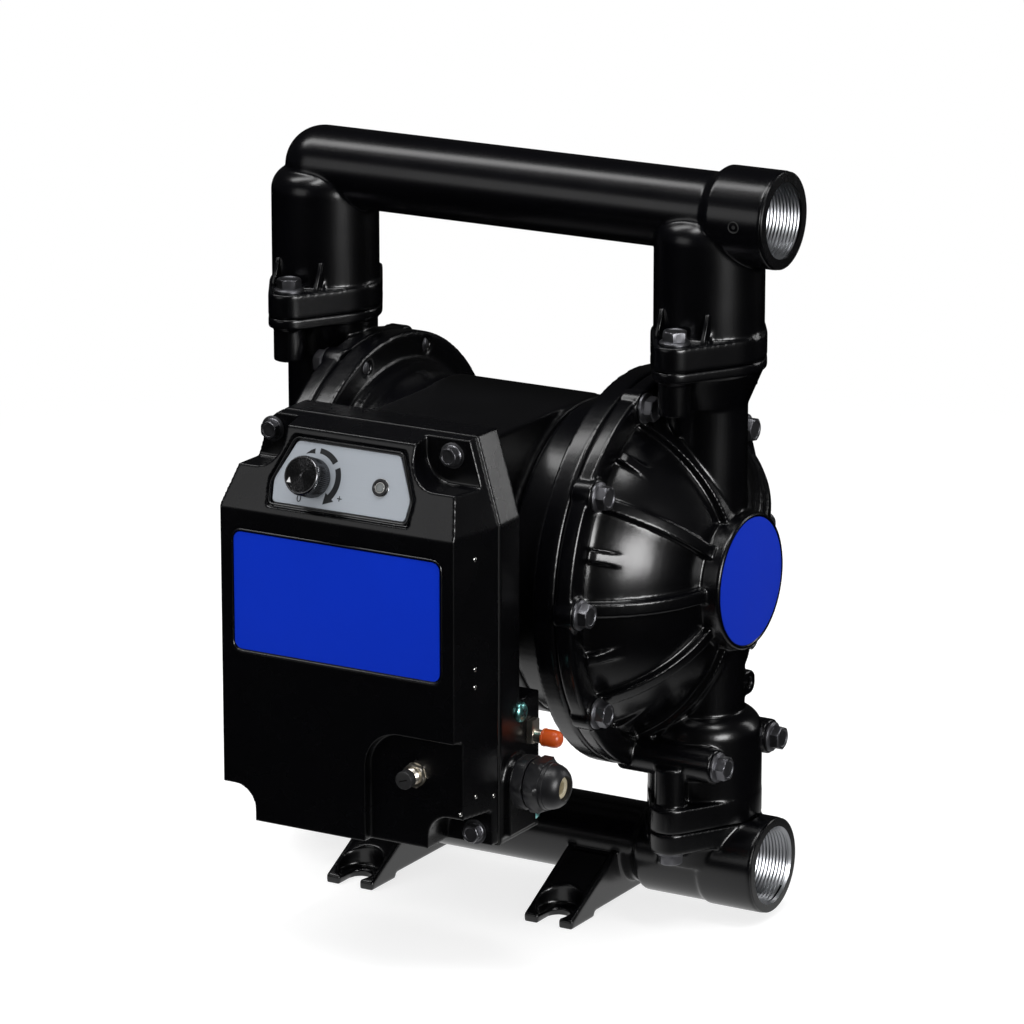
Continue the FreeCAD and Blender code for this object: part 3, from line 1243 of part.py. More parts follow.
def control_cover():
    """Front half of the control box: tapered shell with sloped panel face and bolted corners."""
    part = new_body("control_cover")
    back = outline(part, "back_outline", "XZ_Plane", [
        ("-box_left_width", "front_bottom"),
        ("box_right_width", "front_bottom"),
        ("box_right_width", "box_taper_start"),
        ("box_right_top_width", "box_top"),
        ("-box_left_top_width + box_left_bevel_run", "box_top"),
        ("-box_left_top_width", "box_top - box_left_bevel_rise"),
        ("-box_left_width", "box_taper_start"),
    ], out="parting_face")
    taper = "(box_right_width - box_right_top_width)"
    front = outline(part, "front_outline", "XZ_Plane", [
        ("-front_half_width", "front_bottom"),
        ("front_half_width", "front_bottom"),
        ("front_half_width", "box_taper_start"),
        (f"front_half_width - {taper}", "box_top"),
        (f"-front_half_width + {taper} + box_left_bevel_run", "box_top"),
        (f"-front_half_width + {taper}", "box_top - box_left_bevel_rise"),
        ("-front_half_width", "box_taper_start"),
    ], out="front_face")
    loft = part.newObject("PartDesign::AdditiveLoft", "tapered_shell")
    loft.Profile = back
    loft.Sections = [front]
    loft.Ruled = True
    wedge = outline(part, "slope_cut", "YZ_Plane", [
        ("-front_face", "slope_start"),
        ("-front_face + slope_run", "slope_top"),
        ("-parting_face", "box_top"),
        ("-parting_face", "box_top + box_wall"),
        ("-front_face - box_wall", "box_top + box_wall"),
        ("-front_face - box_wall", "slope_start"),
    ])
    slab(part, "Pocket", wedge, "-box_right_width", "box_right_width")
    room = outline(part, "room", "YZ_Plane", [
        ("-parting_face", LOWER_ROOM_TOP),
        (slope_back("slope_start"), LOWER_ROOM_TOP),
        (slope_back("slope_start"), "slope_start"),
        (slope_back(SHELF), SHELF),
        ("-parting_face", SHELF),
    ])
    slab(part, "Pocket", room, "-front_half_width + box_wall * 2", "front_half_width - box_wall * 2")
    top_room = outline(part, "top_room", "YZ_Plane", [
        ("-parting_face", "slope_start"),
        (slope_back("slope_start"), "slope_start"),
        (slope_back("(slope_top - box_wall)"), "slope_top - box_wall"),
        ("-parting_face", "slope_top - box_wall"),
    ])
    slab(part, "Pocket", top_room, "-corner_bolt_spread + corner_pocket_radius + box_wall",
         "corner_bolt_spread - corner_pocket_radius - box_wall")
    lower_room = outline(part, "lower_room", "XZ_Plane", [
        ("-" + LOWER_ROOM_HALF, "front_bottom + box_wall"),
        (LOWER_ROOM_HALF, "front_bottom + box_wall"),
        (LOWER_ROOM_HALF, "slope_start"),
        ("-" + LOWER_ROOM_HALF, "slope_start"),
    ])
    slab(part, "Pocket", lower_room, slope_back("slope_start"), "-parting_face")
    corners, through = plate_outline("plate_border")
    slab(part, "Pocket", outline(part, "plate_recess", "XZ_Plane", corners, through), "-front_face",
         "-front_face + plate_thickness")
    recess = outline(part, "connector_recess", "XZ_Plane", [
        ("recess_left", "front_bottom - box_wall"),
        ("box_right_width + box_wall", "front_bottom - box_wall"),
        ("box_right_width + box_wall", "recess_top"),
        ("recess_left + recess_rounding", "recess_top"),
        ("recess_left", "recess_top - recess_rounding"),
    ], {3: ("recess_left + recess_rounding * (1 - sqrt(0.5))", "recess_top - recess_rounding * (1 - sqrt(0.5))")})
    slab(part, "Pocket", recess, "-front_face - box_wall", "-front_face + recess_depth")
    backing = outline(part, "connector_backing", "XZ_Plane", [
        ("recess_left - box_wall", "front_bottom"),
        ("front_half_width - box_wall", "front_bottom"),
        ("front_half_width - box_wall", "recess_top + box_wall"),
        ("recess_left - box_wall", "recess_top + box_wall"),
    ])
    slab(part, "Pad", backing, "-front_face + recess_depth", "-front_face + recess_depth + box_wall")
    corner_pocket(part, "corner_pocket", "corner_bolt_spread", "corner_bolt_height", "corner_pocket_radius",
                  "-", "box_top + box_wall")
    corner_pocket(part, "foot_pocket", "foot_pocket_spread", "foot_pocket_height", "foot_pocket_radius",
                  "+", "front_bottom - box_wall")
    bored(part, "bolt_holes", "XZ_Plane", CORNER_BOLTS + FOOT_BOLTS, "box_bolt_radius + bolt_hole_gap / 2",
          CORNER_SEAT, "-parting_face")
    bored(part, "connector_hole", "XZ_Plane", [("connector_across", "connector_height")],
          "connector_radius + thread_gap", "-front_face", "-parting_face")
    posts = circles(part, "board_posts", "XZ_Plane", BOARD_POSTS, "board_post_radius")
    slab(part, "Pad", posts, "-front_face + box_wall", "-front_face + box_wall + recess_depth + board_post_length")
    bored(part, "board_screw_holes", "XZ_Plane", BOARD_POSTS, "board_screw_radius",
          "-front_face + box_wall + recess_depth", "-front_face + box_wall + recess_depth + board_post_length")
    return part


BOARD_FACE = "(-front_face + box_wall + recess_depth + board_post_length)"
BOARD_POSTS = [(side + "(board_half_width - board_post_radius * 2)", height)
               for side in ("-", "")
               for height in ("board_bottom + board_post_radius * 2", "board_top - board_post_radius * 2")]


def sloped_cut():
    """Recess for the panel and holes for the knob shaft and lamp, cut square to the sloped face."""
    cutter = new_body("panel_cutter", **SLOPE, several=True)
    shape = outline(cutter, "panel_recess", "XY_Plane", panel_outline("panel_border"))
    slab(cutter, "Pad", shape, "-panel_recess", "box_wall")
    for name, across, up, radius in (("pot_hole", "knob_across", "knob_up", "pot_bushing_radius"),
                                     ("lamp_hole", "lamp_across", "lamp_up", "lamp_bezel_radius - lamp_height")):
        hole = circles(cutter, name, "XY_Plane", [(across, up)], f"{radius} + thread_gap")
        slab(cutter, "Pad", hole, "-box_wall * 4", "0")
    return cutter


def finished_cover():
    """Front cover with the sloped recess and holes taken out."""
    shell = control_cover()
    shell.Label = "control_cover_casting"
    cutter = sloped_cut()
    cover = doc.addObject("Part::Cut", "control_cover_cut")
    cover.Base = shell
    cover.Tool = cutter
    cover.Label = "control_cover"
    return cover


def panel_pieces():
    """Silver panel, potentiometer, speed knob and status lamp on the sloped face."""
    face = "(-panel_recess + panel_thickness)"
    panel = new_body("control_panel_plate", **SLOPE)
    slab(panel, "Pad", outline(panel, "panel_outline", "XY_Plane", panel_outline()), "-panel_recess", face)
    bored(panel, "pot_hole", "XY_Plane", [("knob_across", "knob_up")], "pot_bushing_radius + thread_gap",
          "-panel_recess", face)
    bored(panel, "lamp_hole", "XY_Plane", [("lamp_across", "lamp_up")],
          "lamp_bezel_radius - lamp_height + thread_gap", "-panel_recess", face)
    pot = new_body("potentiometer", **SLOPE)
    spot = [("knob_across", "knob_up")]
    back = "(-box_wall - pot_body_length)"
    slab(pot, "Pad", circles(pot, "pot_can", "XY_Plane", spot, "pot_radius"), back, "-box_wall - thread_gap")
    slab(pot, "Pad", circles(pot, "pot_bushing", "XY_Plane", spot, "pot_bushing_radius"), "-box_wall - thread_gap",
         f"{face} - thread_gap")
    bored(pot, "pot_bore", "XY_Plane", spot, "knob_shaft_radius + running_gap", f"{back} + box_wall", face)
    shaft = new_body("knob_shaft", **SLOPE)
    slab(shaft, "Pad", circles(shaft, "shaft_section", "XY_Plane", spot, "knob_shaft_radius"),
         f"{back} + box_wall + knob_gap", f"{face} + knob_height * 0.6")
    knob = new_body("speed_knob", **SLOPE)
    profile = outline(knob, "knob_profile", "XZ_Plane", [
        ("0", f"{face} + knob_gap"),
        ("knob_radius - knob_edge", f"{face} + knob_gap"),
        ("knob_radius", f"{face} + knob_gap + knob_edge"),
        ("knob_radius - knob_edge / 2", f"{face} + knob_height - knob_edge"),
        ("knob_radius - knob_edge * 1.5", f"{face} + knob_height"),
        ("0", f"{face} + knob_height"),
    ], right="knob_across", out="-knob_up")
    turned(knob, "Revolution", profile, "V_Axis")
    bored(knob, "knob_bore", "XY_Plane", spot, "knob_shaft_radius + thread_gap / 5", face,
          f"{face} + knob_height * 0.6 + knob_gap")
    lamp_spot = [("lamp_across", "lamp_up")]
    stem = "lamp_bezel_radius - lamp_height"
    bezel = new_body("lamp_bezel", **SLOPE)
    slab(bezel, "Pad", circles(bezel, "bezel_flange", "XY_Plane", lamp_spot, "lamp_bezel_radius",
                               "lamp_lens_radius + thread_gap"), face, f"{face} + lamp_height")
    slab(bezel, "Pad", circles(bezel, "bezel_stem", "XY_Plane", lamp_spot, stem, "lamp_lens_radius + thread_gap"),
         f"{face} - lamp_length", face)
    lens = new_body("lamp_lens", **SLOPE)
    slab(lens, "Pad", circles(lens, "lens_section", "XY_Plane", lamp_spot, "lamp_lens_radius"),
         f"{face} - lamp_length", f"{face} + lamp_height * 0.7")


def box_pieces():
    """Gasket, bolts, blank front plate, board and screws of the control box."""
    gasket = new_body("cover_gasket")
    sketch = outline(gasket, "gasket_edge", "XZ_Plane", box_outline("thread_gap * 10"))
    draw_loop(sketch, box_room())
    slab(gasket, "Pad", sketch, "-parting_face", "-parting_face + gasket_thickness")
    bored(gasket, "gasket_holes", "XZ_Plane", CORNER_BOLTS + FOOT_BOLTS, "box_bolt_radius + bolt_hole_gap / 2",
          "-parting_face", "-parting_face + gasket_thickness")
    bolts = new_body("control_cover_bolts", several=True)
    seat = "(-parting_face - corner_flange_thickness)"
    spots = CORNER_BOLTS + FOOT_BOLTS
    slab(bolts, "Pad", circles(bolts, "washers", "XZ_Plane", spots, "box_washer_radius"),
         f"{seat} - gasket_thickness", seat)
    slab(bolts, "Pad", circles(bolts, "shanks", "XZ_Plane", spots, "box_bolt_radius - thread_gap"), seat,
         "-parting_face + bolt_thread_grip - gasket_thickness")
    for number, (u, v) in enumerate(spots, 1):
        head = outline(bolts, f"head_{number}", "XZ_Plane", hexagon("box_bolt_across", f"({u})", v))
        slab(bolts, "Pad", head, f"{seat} - gasket_thickness - box_bolt_head", f"{seat} - gasket_thickness")
    plate = new_body("nameplate")
    corners, through = plate_outline()
    slab(plate, "Pad", outline(plate, "plate_outline", "XZ_Plane", corners, through), "-front_face",
         "-front_face + plate_thickness")
    board = new_body("circuit_board")
    shape = outline(board, "board_outline", "XZ_Plane", [
        ("-board_half_width", "board_bottom"),
        ("board_half_width", "board_bottom"),
        ("board_half_width", "board_top"),
        ("-board_half_width", "board_top"),
    ])
    slab(board, "Pad", shape, BOARD_FACE, f"{BOARD_FACE} + board_thickness")
    bored(board, "board_holes", "XZ_Plane", BOARD_POSTS, "board_screw_radius + bolt_hole_gap / 2", BOARD_FACE,
          f"{BOARD_FACE} + board_thickness")
    screws = new_body("board_screws", several=True)
    back = f"({BOARD_FACE} + board_thickness)"
    slab(screws, "Pad", circles(screws, "board_screw_shanks", "XZ_Plane", BOARD_POSTS,
                                "board_screw_radius - thread_gap"), f"{BOARD_FACE} - board_post_length / 2", back)
    slab(screws, "Pad", circles(screws, "board_screw_heads", "XZ_Plane", BOARD_POSTS, "board_screw_radius * 2"), back,
         f"{back} + board_thickness")
    neck_screws = new_body("housing_screws", several=True)
    places = [(u, f"pump_axis_height + {v}") for u, v in HOUSING_SCREWS]
    inside = "(-housing_back - box_wall)"
    slab(neck_screws, "Pad", circles(neck_screws, "neck_screw_shanks", "XZ_Plane", places,
                                     "box_bolt_radius - thread_gap"), inside,
         f"{inside} + bolt_thread_grip")
    slab(neck_screws, "Pad", circles(neck_screws, "neck_screw_heads", "XZ_Plane", places, "box_bolt_radius * 1.8"),
         f"{inside} - box_bolt_head", inside)


def connector():
    """Round sensor connector in the front recess, with its nut and slotted dust cap."""
    spot = [("connector_across", "connector_height")]
    face = "(-front_face + recess_depth)"
    body = new_body("sensor_connector")
    slab(body, "Pad", circles(body, "barrel", "XZ_Plane", spot, "connector_radius"),
         f"{face} - connector_reach - connector_cap_length / 2", f"{face} + connector_body_length")
    slab(body, "Pad", circles(body, "flange", "XZ_Plane", spot, "connector_flange_radius"),
         f"{face} + box_wall", f"{face} + box_wall + connector_nut_thickness")
    nut = new_body("connector_nut")
    slab(nut, "Pad", outline(nut, "nut_outline", "XZ_Plane",
                             hexagon("connector_nut_across", "connector_across", "connector_height")),
         f"{face} - connector_nut_thickness", face)
    bored(nut, "nut_bore", "XZ_Plane", spot, "connector_radius + thread_gap", f"{face} - connector_nut_thickness", face)
    cap = new_body("connector_cap")
    tip = f"({face} - connector_reach - connector_cap_length)"
    slab(cap, "Pad", circles(cap, "cap_section", "XZ_Plane", spot, "connector_cap_radius"), tip,
         f"{face} - connector_nut_thickness - knob_gap")
    bored(cap, "cap_bore", "XZ_Plane", spot, "connector_radius + thread_gap",
          f"{face} - connector_reach - connector_cap_length / 2 - knob_gap", f"{face} - connector_nut_thickness")
    slot = outline(cap, "cap_slot", "XZ_Plane", [
        ("connector_across - connector_cap_radius", "connector_height - knob_gap"),
        ("connector_across + connector_cap_radius", "connector_height - knob_gap"),
        ("connector_across + connector_cap_radius", "connector_height + knob_gap"),
        ("connector_across - connector_cap_radius", "connector_height + knob_gap"),
    ])
    slab(cap, "Pocket", slot, tip, f"{tip} + knob_edge")


def gland():
    """Cable gland: threaded body, domed nut, rubber seal ring and inside locknut."""
    place = {"x": "box_right_width", "y": "-gland_depth", "z": "gland_height"}
    spot = [("0", "0")]
    start = "gland_boss_length"
    hex_end = f"({start} + gland_hex_length)"
    nut_end = f"({hex_end} + gland_nut_length)"
    body = new_body("gland_body", **place)
    slab(body, "Pad", outline(body, "body_hex", "YZ_Plane", hexagon("gland_hex_across")), start, hex_end)
    slab(body, "Pad", circles(body, "body_thread", "YZ_Plane", spot, "gland_hole_radius - thread_gap"),
         "-box_wall - gland_thread_length", start)
    slab(body, "Pad", circles(body, "body_sleeve", "YZ_Plane", spot, "gland_hole_radius"), hex_end,
         f"{hex_end} + gland_nut_length / 2")
    bored(body, "body_bore", "YZ_Plane", spot, "gland_bore_radius", "-box_wall - gland_thread_length",
          f"{hex_end} + gland_nut_length / 2")
    nut = new_body("gland_nut", **place)
    slab(nut, "Pad", outline(nut, "nut_hex", "YZ_Plane", hexagon("gland_hex_across")), f"{hex_end} + thread_gap",
         f"{hex_end} + gland_nut_length / 2")
    dome = outline(nut, "nut_dome", "XZ_Plane", [
        (f"{hex_end} + thread_gap", "gland_bore_radius"),
        (f"{hex_end} + thread_gap", "gland_nut_radius"),
        (f"{nut_end} - gland_bore_radius", "gland_nut_radius"),
        (nut_end, "gland_hole_radius"),
        (nut_end, "gland_bore_radius"),
    ], {2: (f"{nut_end} - gland_bore_radius * 0.25", "gland_nut_radius - knob_edge")})
    turned(nut, "Revolution", dome)
    bored(nut, "nut_bore", "YZ_Plane", spot, "gland_hole_radius + thread_gap", hex_end,
          f"{nut_end} - box_wall")
    bored(nut, "nut_mouth", "YZ_Plane", spot, "gland_bore_radius", hex_end, nut_end)
    seal = new_body("gland_seal", **place)
    slab(seal, "Pad", circles(seal, "seal_section", "YZ_Plane", spot, "gland_bore_radius - thread_gap",
                              "gland_seal_bore_radius"), f"{hex_end} + thread_gap", f"{nut_end} - box_wall / 2")
    locknut = new_body("gland_locknut", **place)
    slab(locknut, "Pad", outline(locknut, "locknut_hex", "YZ_Plane", hexagon("gland_hex_across - box_wall")),
         "-box_wall - locknut_thickness", "-box_wall")
    bored(locknut, "locknut_bore", "YZ_Plane", spot, "gland_hole_radius", "-box_wall - locknut_thickness", "-box_wall")


def side_fittings():
    """Capped test elbow and the two ground screws on the right side of the box."""
    place = {"x": "box_right_width", "y": "-elbow_depth", "z": "elbow_height"}
    spot = [("0", "0")]
    elbow = new_body("test_elbow", **place)
    slab(elbow, "Pad", circles(elbow, "elbow_barrel", "YZ_Plane", spot, "elbow_radius - thread_gap"), "-box_wall",
         "elbow_reach + cap_length / 2")
    knuckle = outline(elbow, "elbow_knuckle", "YZ_Plane", [
        ("-elbow_radius", "-elbow_radius"),
        ("elbow_radius", "-elbow_radius"),
        ("elbow_radius", "elbow_radius * 2.4"),
        ("-elbow_radius", "elbow_radius * 2.4"),
    ])
    slab(elbow, "Pad", knuckle, "thread_gap", "elbow_radius")
    cap = new_body("test_cap", **place)
    body = outline(cap, "cap_profile", "XZ_Plane", [
        ("elbow_reach", "0"),
        ("elbow_reach", "cap_radius"),
        ("elbow_reach + cap_length - cap_radius / 2", "cap_radius"),
        ("elbow_reach + cap_length", "cap_radius / 2"),
        ("elbow_reach + cap_length", "0"),
    ], {2: ("elbow_reach + cap_length - cap_radius / 2 * (1 - sqrt(0.5))", "cap_radius / 2 * (1 + sqrt(0.5))")})
    turned(cap, "Revolution", body)
    bored(cap, "cap_bore", "YZ_Plane", spot, "elbow_radius", "elbow_reach",
          "elbow_reach + cap_length / 2 + thread_gap")
    screws = new_body("ground_screws", x="box_right_width", several=True)
    slab(screws, "Pad", circles(screws, "screw_heads", "YZ_Plane", GROUND_SPOTS, "ground_head_radius"), "0",
         "ground_head_thickness")
    slab(screws, "Pad", circles(screws, "screw_shanks", "YZ_Plane", GROUND_SPOTS, "ground_shank_radius"),
         "-ground_shank_length", "0")


outlet_manifold()
inlet_manifold()
motor_housing()
motor()
for make in (fluid_cover, air_cover, cover_bolts, diaphragm, air_plate, fluid_plate, badge):
    name = make.__name__
    twin(make("right_" + name), "left_" + name)
plate_nuts()
ring_pair("shaft_bushings", "hub_back", "dish_floor", "screw_radius + running_gap",
          "screw_radius + bushing_wall - thread_gap")
ring_pair("rotor_bearings", "bearing_start", "bearing_start + bearing_length", "bearing_seat_radius + running_gap",
          "bearing_outer_radius - thread_gap")
joint_bolts("outlet_manifold_bolts", "upper_joint_height", "+")
joint_bolts("inlet_manifold_bolts", "lower_joint_height", "-")
seat_seals = new_body("seat_seals", several=True)
valves("outlet", "upper_joint_height", seat_seals)
valves("inlet", "(lower_joint_height + seat_thickness)", seat_seals)
control_housing()
finished_cover()
panel_pieces()
box_pieces()
connector()
gland()
side_fittings()
for item in doc.Objects:
    if item.TypeId == "PartDesign::Body":
        item.Tip.Refine = True
doc.recompute()

# Check every object, then write one file for each sub-part.
helpers = {"control_cover_casting", "panel_cutter"}
failed = [item.Label for item in doc.Objects if {"Invalid", "Error"} & set(item.State)]
if failed:
    raise RuntimeError("failed objects: " + ", ".join(failed))
kinds = ("PartDesign::Body", "Part::Cut", "Part::Compound")
nodes = [item for item in doc.Objects if item.TypeId in kinds and item.Label not in helpers]
for item in nodes:
    if item.Shape.isNull() or not item.Shape.isValid():
        raise RuntimeError(f"{item.Label} has no valid shape")
os.makedirs("parts", exist_ok=True)
for item in nodes:
    item.Shape.exportStep(f"parts/{item.Label}.step")
print(len(nodes), "sub-parts written")
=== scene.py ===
# %% [markdown]
# # Dressing an electric double diaphragm pump
#
# The solids of the pump are made elsewhere and arrive here as plain meshes in metres, each
# already in its place. This lesson gives them the look of the real machine: satin black
# castings with soft edges, dark zinc bolts, blue enamel plates, a brushed panel with a spun
# knob, and bare aluminium threads in the two ports.

# %% Load the solids
import math

import bmesh
import bpy
from mathutils import Matrix, Quaternion, Vector


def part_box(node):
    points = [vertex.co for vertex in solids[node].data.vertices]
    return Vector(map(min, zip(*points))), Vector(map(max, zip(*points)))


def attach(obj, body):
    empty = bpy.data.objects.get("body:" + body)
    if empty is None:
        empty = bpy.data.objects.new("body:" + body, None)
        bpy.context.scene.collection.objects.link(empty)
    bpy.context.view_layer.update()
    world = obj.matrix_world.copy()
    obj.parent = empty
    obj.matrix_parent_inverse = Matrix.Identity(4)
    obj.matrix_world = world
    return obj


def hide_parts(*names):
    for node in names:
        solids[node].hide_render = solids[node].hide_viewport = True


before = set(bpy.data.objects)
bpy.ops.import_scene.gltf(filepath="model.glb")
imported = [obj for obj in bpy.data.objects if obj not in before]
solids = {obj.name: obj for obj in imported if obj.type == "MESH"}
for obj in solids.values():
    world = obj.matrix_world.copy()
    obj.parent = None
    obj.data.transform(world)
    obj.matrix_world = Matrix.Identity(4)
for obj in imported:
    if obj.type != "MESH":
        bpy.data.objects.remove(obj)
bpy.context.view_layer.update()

MM = 0.001
scene = bpy.context.scene

# %% [markdown]
# ## Camera
#
# The picture was taken from the front right with a long lens, so the pipe runs stay nearly
# parallel. A camera far away with a narrow view gives the same calm lines, which a close
# one with a wide view can't.

# %% Camera
AIM = Vector((-1.21, 0, 224.47)) * MM
TOWARDS_CAMERA = Vector((0.4841, -0.8329, 0.2685))
CAMERA_DISTANCE = 3.3309
camera = bpy.data.objects.new("camera", bpy.data.cameras.new("camera"))
scene.collection.objects.link(camera)
scene.camera = camera
camera.location = AIM + TOWARDS_CAMERA * CAMERA_DISTANCE
camera.rotation_euler = (-TOWARDS_CAMERA).to_track_quat("-Z", "Y").to_euler()
camera.data.sensor_width = 36
camera.data.lens = 196.27
camera.data.clip_end = 50
scene.view_settings.view_transform = "Standard"
print("camera", round(CAMERA_DISTANCE, 2), "m away, lens", round(camera.data.lens), "mm")

# %% [markdown]
# ## Lamps
#
# Black paint shows little but reflections, so where the lamps stand matters more than how
# bright they are. Three soft boxes hang overhead, one at the right draws the dome in
# reflections only, a weak one stands at the front left, and a strip behind draws the rim.
# The camera doesn't see any of them.

# %% Lamps


def soft_box(name, towards, distance, width, height, glow):
    """Area lamp that faces the pump; glow is how bright its face looks in a mirror."""
    lamp = bpy.data.objects.new(name, bpy.data.lights.new(name, "AREA"))
    scene.collection.objects.link(lamp)
    direction = Vector(towards).normalized()
    lamp.location = AIM + direction * distance
    lamp.rotation_euler = (-direction).to_track_quat("-Z", "Y").to_euler()
    lamp.data.shape = "RECTANGLE"
    lamp.data.size = width
    lamp.data.size_y = height
    lamp.data.energy = glow * math.pi * width * height
    lamp.visible_camera = False
    return lamp


soft_box("right_box", (0.88, -0.4, 0.2), 1.9, 0.8, 0.65, 15).visible_diffuse = False
soft_box("top_box_front", (-0.07, -0.3, 0.93), 1.8, 0.3, 0.8, 11)
soft_box("top_box_right", (0.34, -0.1, 0.94), 1.8, 0.3, 0.8, 11)
soft_box("top_box_left", (-0.5, -0.15, 0.85), 1.9, 0.4, 1.0, 6)
soft_box("front_box", (-0.42, -0.85, 0.29), 2.2, 1.0, 0.9, 1.0)
soft_box("rim_strip", (0.62, 0.72, 0.3), 2.0, 0.25, 1.2, 5)

# %% [markdown]
# ## Writing node trees as sums
#
# Finishes and repeated shapes are both small networks of nodes. Wiring them by hand is
# long, so one class stands for the value on a wire and turns Python sums into Math nodes,
# and a second one holds a tree and adds any other node in one call. A finish and a
# geometry plan are two kinds of such a tree.

# %% Wires and trees


class Wire:
    """Value on its way through a tree; sums on it become Math nodes."""

    def __init__(self, board, socket):
        self.board = board
        self.socket = socket

    def sum(self, operation, first, second):
        """Math node on two values."""
        return self.board.add("ShaderNodeMath", {"operation": operation}, (first, second))

    def __add__(self, other):
        return self.sum("ADD", self, other)

    def __radd__(self, other):
        return self.sum("ADD", other, self)

    def __sub__(self, other):
        return self.sum("SUBTRACT", self, other)

    def __rsub__(self, other):
        return self.sum("SUBTRACT", other, self)

    def __mul__(self, other):
        return self.sum("MULTIPLY", self, other)

    def __rmul__(self, other):
        return self.sum("MULTIPLY", other, self)


class Board:
    """Node tree under construction."""

    def __init__(self, tree):
        self.tree = tree
        self.tree.nodes.clear()

    def add(self, kind, settings=None, inputs=(), out=0):
        """New node with its settings and inputs; gives the wire from one of its outputs."""
        node = self.tree.nodes.new(kind)
        for name, setting in (settings or {}).items():
            setattr(node, name, setting)
        pairs = inputs.items() if isinstance(inputs, dict) else enumerate(inputs)
        for place, given in pairs:
            for wire in given if isinstance(given, list) else [given]:
                if isinstance(wire, Wire):
                    self.tree.links.new(wire.socket, node.inputs[place])
                elif wire is not None:
                    node.inputs[place].default_value = wire
        return Wire(self, node.outputs[out]) if node.outputs else node

# %% [markdown]
# ## Finishes as trees
#
# Every finish needs the same few things: a place on the piece, a cloudy value, a colour
# between two others, a bump and a shader. Each gets a short method, so that a recipe reads
# as one line for each thing that can be seen. The place is the piece's own coordinates,
# because the pattern then stays on the piece when it moves.

# %% Finish


class Finish(Board):
    """Material or world under construction."""

    def __init__(self, name, owner=None):
        self.owner = owner or bpy.data.materials.new(name)
        self.owner.use_nodes = True
        super().__init__(self.owner.node_tree)

    def place(self, scale=(1, 1, 1)):
        """The piece's own coordinates in metres, stretched."""
        spot = self.add("ShaderNodeTexCoord", out="Object")
        return self.add("ShaderNodeMapping", {"vector_type": "TEXTURE"},
                        {"Vector": spot, "Scale": tuple(1 / part for part in scale)})

    def noise(self, where, scale, detail=3.0, roughness=0.5):
        """Cloudy value from 0 to 1."""
        return self.add("ShaderNodeTexNoise", None, {
            "Vector": where, "Scale": scale, "Detail": detail, "Roughness": roughness})

    def blend(self, share, first, second):
        """Colour between two colours."""
        factor, colour_a, colour_b, colour_out = 0, 6, 7, 2
        return self.add("ShaderNodeMix", {"data_type": "RGBA"},
                        {factor: share, colour_a: first, colour_b: second}, out=colour_out)

    def bump(self, height, depth, under=None):
        """Normal that follows a height, whose full range is depth metres."""
        return self.add("ShaderNodeBump", None, {
            "Strength": 1.0, "Distance": depth, "Height": height, "Normal": under})

    def surface(self, **inputs):
        """Principled shader with these inputs, joined to the output."""
        named = {name.replace("_", " "): given for name, given in inputs.items()}
        shader = self.add("ShaderNodeBsdfPrincipled", None, named)
        self.add("ShaderNodeOutputMaterial", None, {"Surface": shader})
        return self.owner


def shade(colour, factor):
    """Colour made darker or lighter, with its alpha."""
    return (*(part * factor for part in colour), 1)

# %% [markdown]
# ## The room
#
# The background is white wherever a camera ray ends. Rays that bounce off the paint find a
# dark room, as they do in a studio with black flags. Both come from one world, which asks
# what kind of ray has arrived.

# %% World
GLOSSY_STRENGTH, DIFFUSE_STRENGTH = 0.015, 0.6
room = Finish("room", bpy.data.worlds.new("room"))
scene.world = room.owner
seen = room.add("ShaderNodeLightPath", out="Is Camera Ray")
mirrored = room.add("ShaderNodeLightPath", out="Is Glossy Ray")
through = room.add("ShaderNodeLightPath", out="Is Transmission Ray")
others = (1 - seen) * (1 - through) * (1 - mirrored)
strength = seen + through + mirrored * GLOSSY_STRENGTH + others * DIFFUSE_STRENGTH
backdrop = room.add("ShaderNodeBackground", None, {"Color": (1, 1, 1, 1), "Strength": strength})
room.add("ShaderNodeOutputWorld", None, {"Surface": backdrop})
print("world with", len(room.tree.nodes), "nodes")

# %% [markdown]
# The floor is white too, and lit partly by itself and partly by the lamps, so that it keeps
# a soft shadow without a grey ground around it. Far from the pump it only glows. Paint
# near the feet mirrors a pale floor, and paint higher up doesn't.

# %% Floor
FLOOR_RADIUS = 6.0
floor_mesh = bpy.data.meshes.new("floor")
shape = bmesh.new()
bmesh.ops.create_circle(shape, cap_ends=True, segments=96, radius=FLOOR_RADIUS)
shape.to_mesh(floor_mesh)
shape.free()
floor = bpy.data.objects.new("floor", floor_mesh)
scene.collection.objects.link(floor)
paper = Finish("paper")
away = paper.add("ShaderNodeVectorMath", {"operation": "LENGTH"}, (paper.place(),), out="Value")


def near(start, end):
    """One close to the pump, falling to nought between two distances in metres."""
    return paper.add("ShaderNodeMapRange", {"interpolation_type": "SMOOTHSTEP"}, {
        "Value": away, "From Min": start, "From Max": end, "To Min": 1.0, "To Max": 0.0})


lit = paper.add("ShaderNodeBsdfDiffuse", None, {"Color": (0.42, 0.42, 0.42, 1)})
glow = paper.add("ShaderNodeEmission", None, {"Strength": 0.77})
shadowed = paper.add("ShaderNodeAddShader", None, (lit, glow))
plain = paper.add("ShaderNodeEmission", None, {"Strength": 1.0})
shown = paper.add("ShaderNodeMixShader", None, (near(0.5, 1.2), plain, shadowed))
bounced = paper.add("ShaderNodeBsdfDiffuse", None, {"Color": (0.75, 0.75, 0.75, 1)})
reflected = paper.add("ShaderNodeEmission", None, {"Strength": near(0.10, 0.34) * 0.85})
glossy = (paper.add("ShaderNodeLightPath", out="Is Glossy Ray")
          + paper.add("ShaderNodeLightPath", out="Is Transmission Ray"))
unseen = paper.add("ShaderNodeMixShader", None, (glossy, bounced, reflected))
camera_ray = paper.add("ShaderNodeLightPath", out="Is Camera Ray")
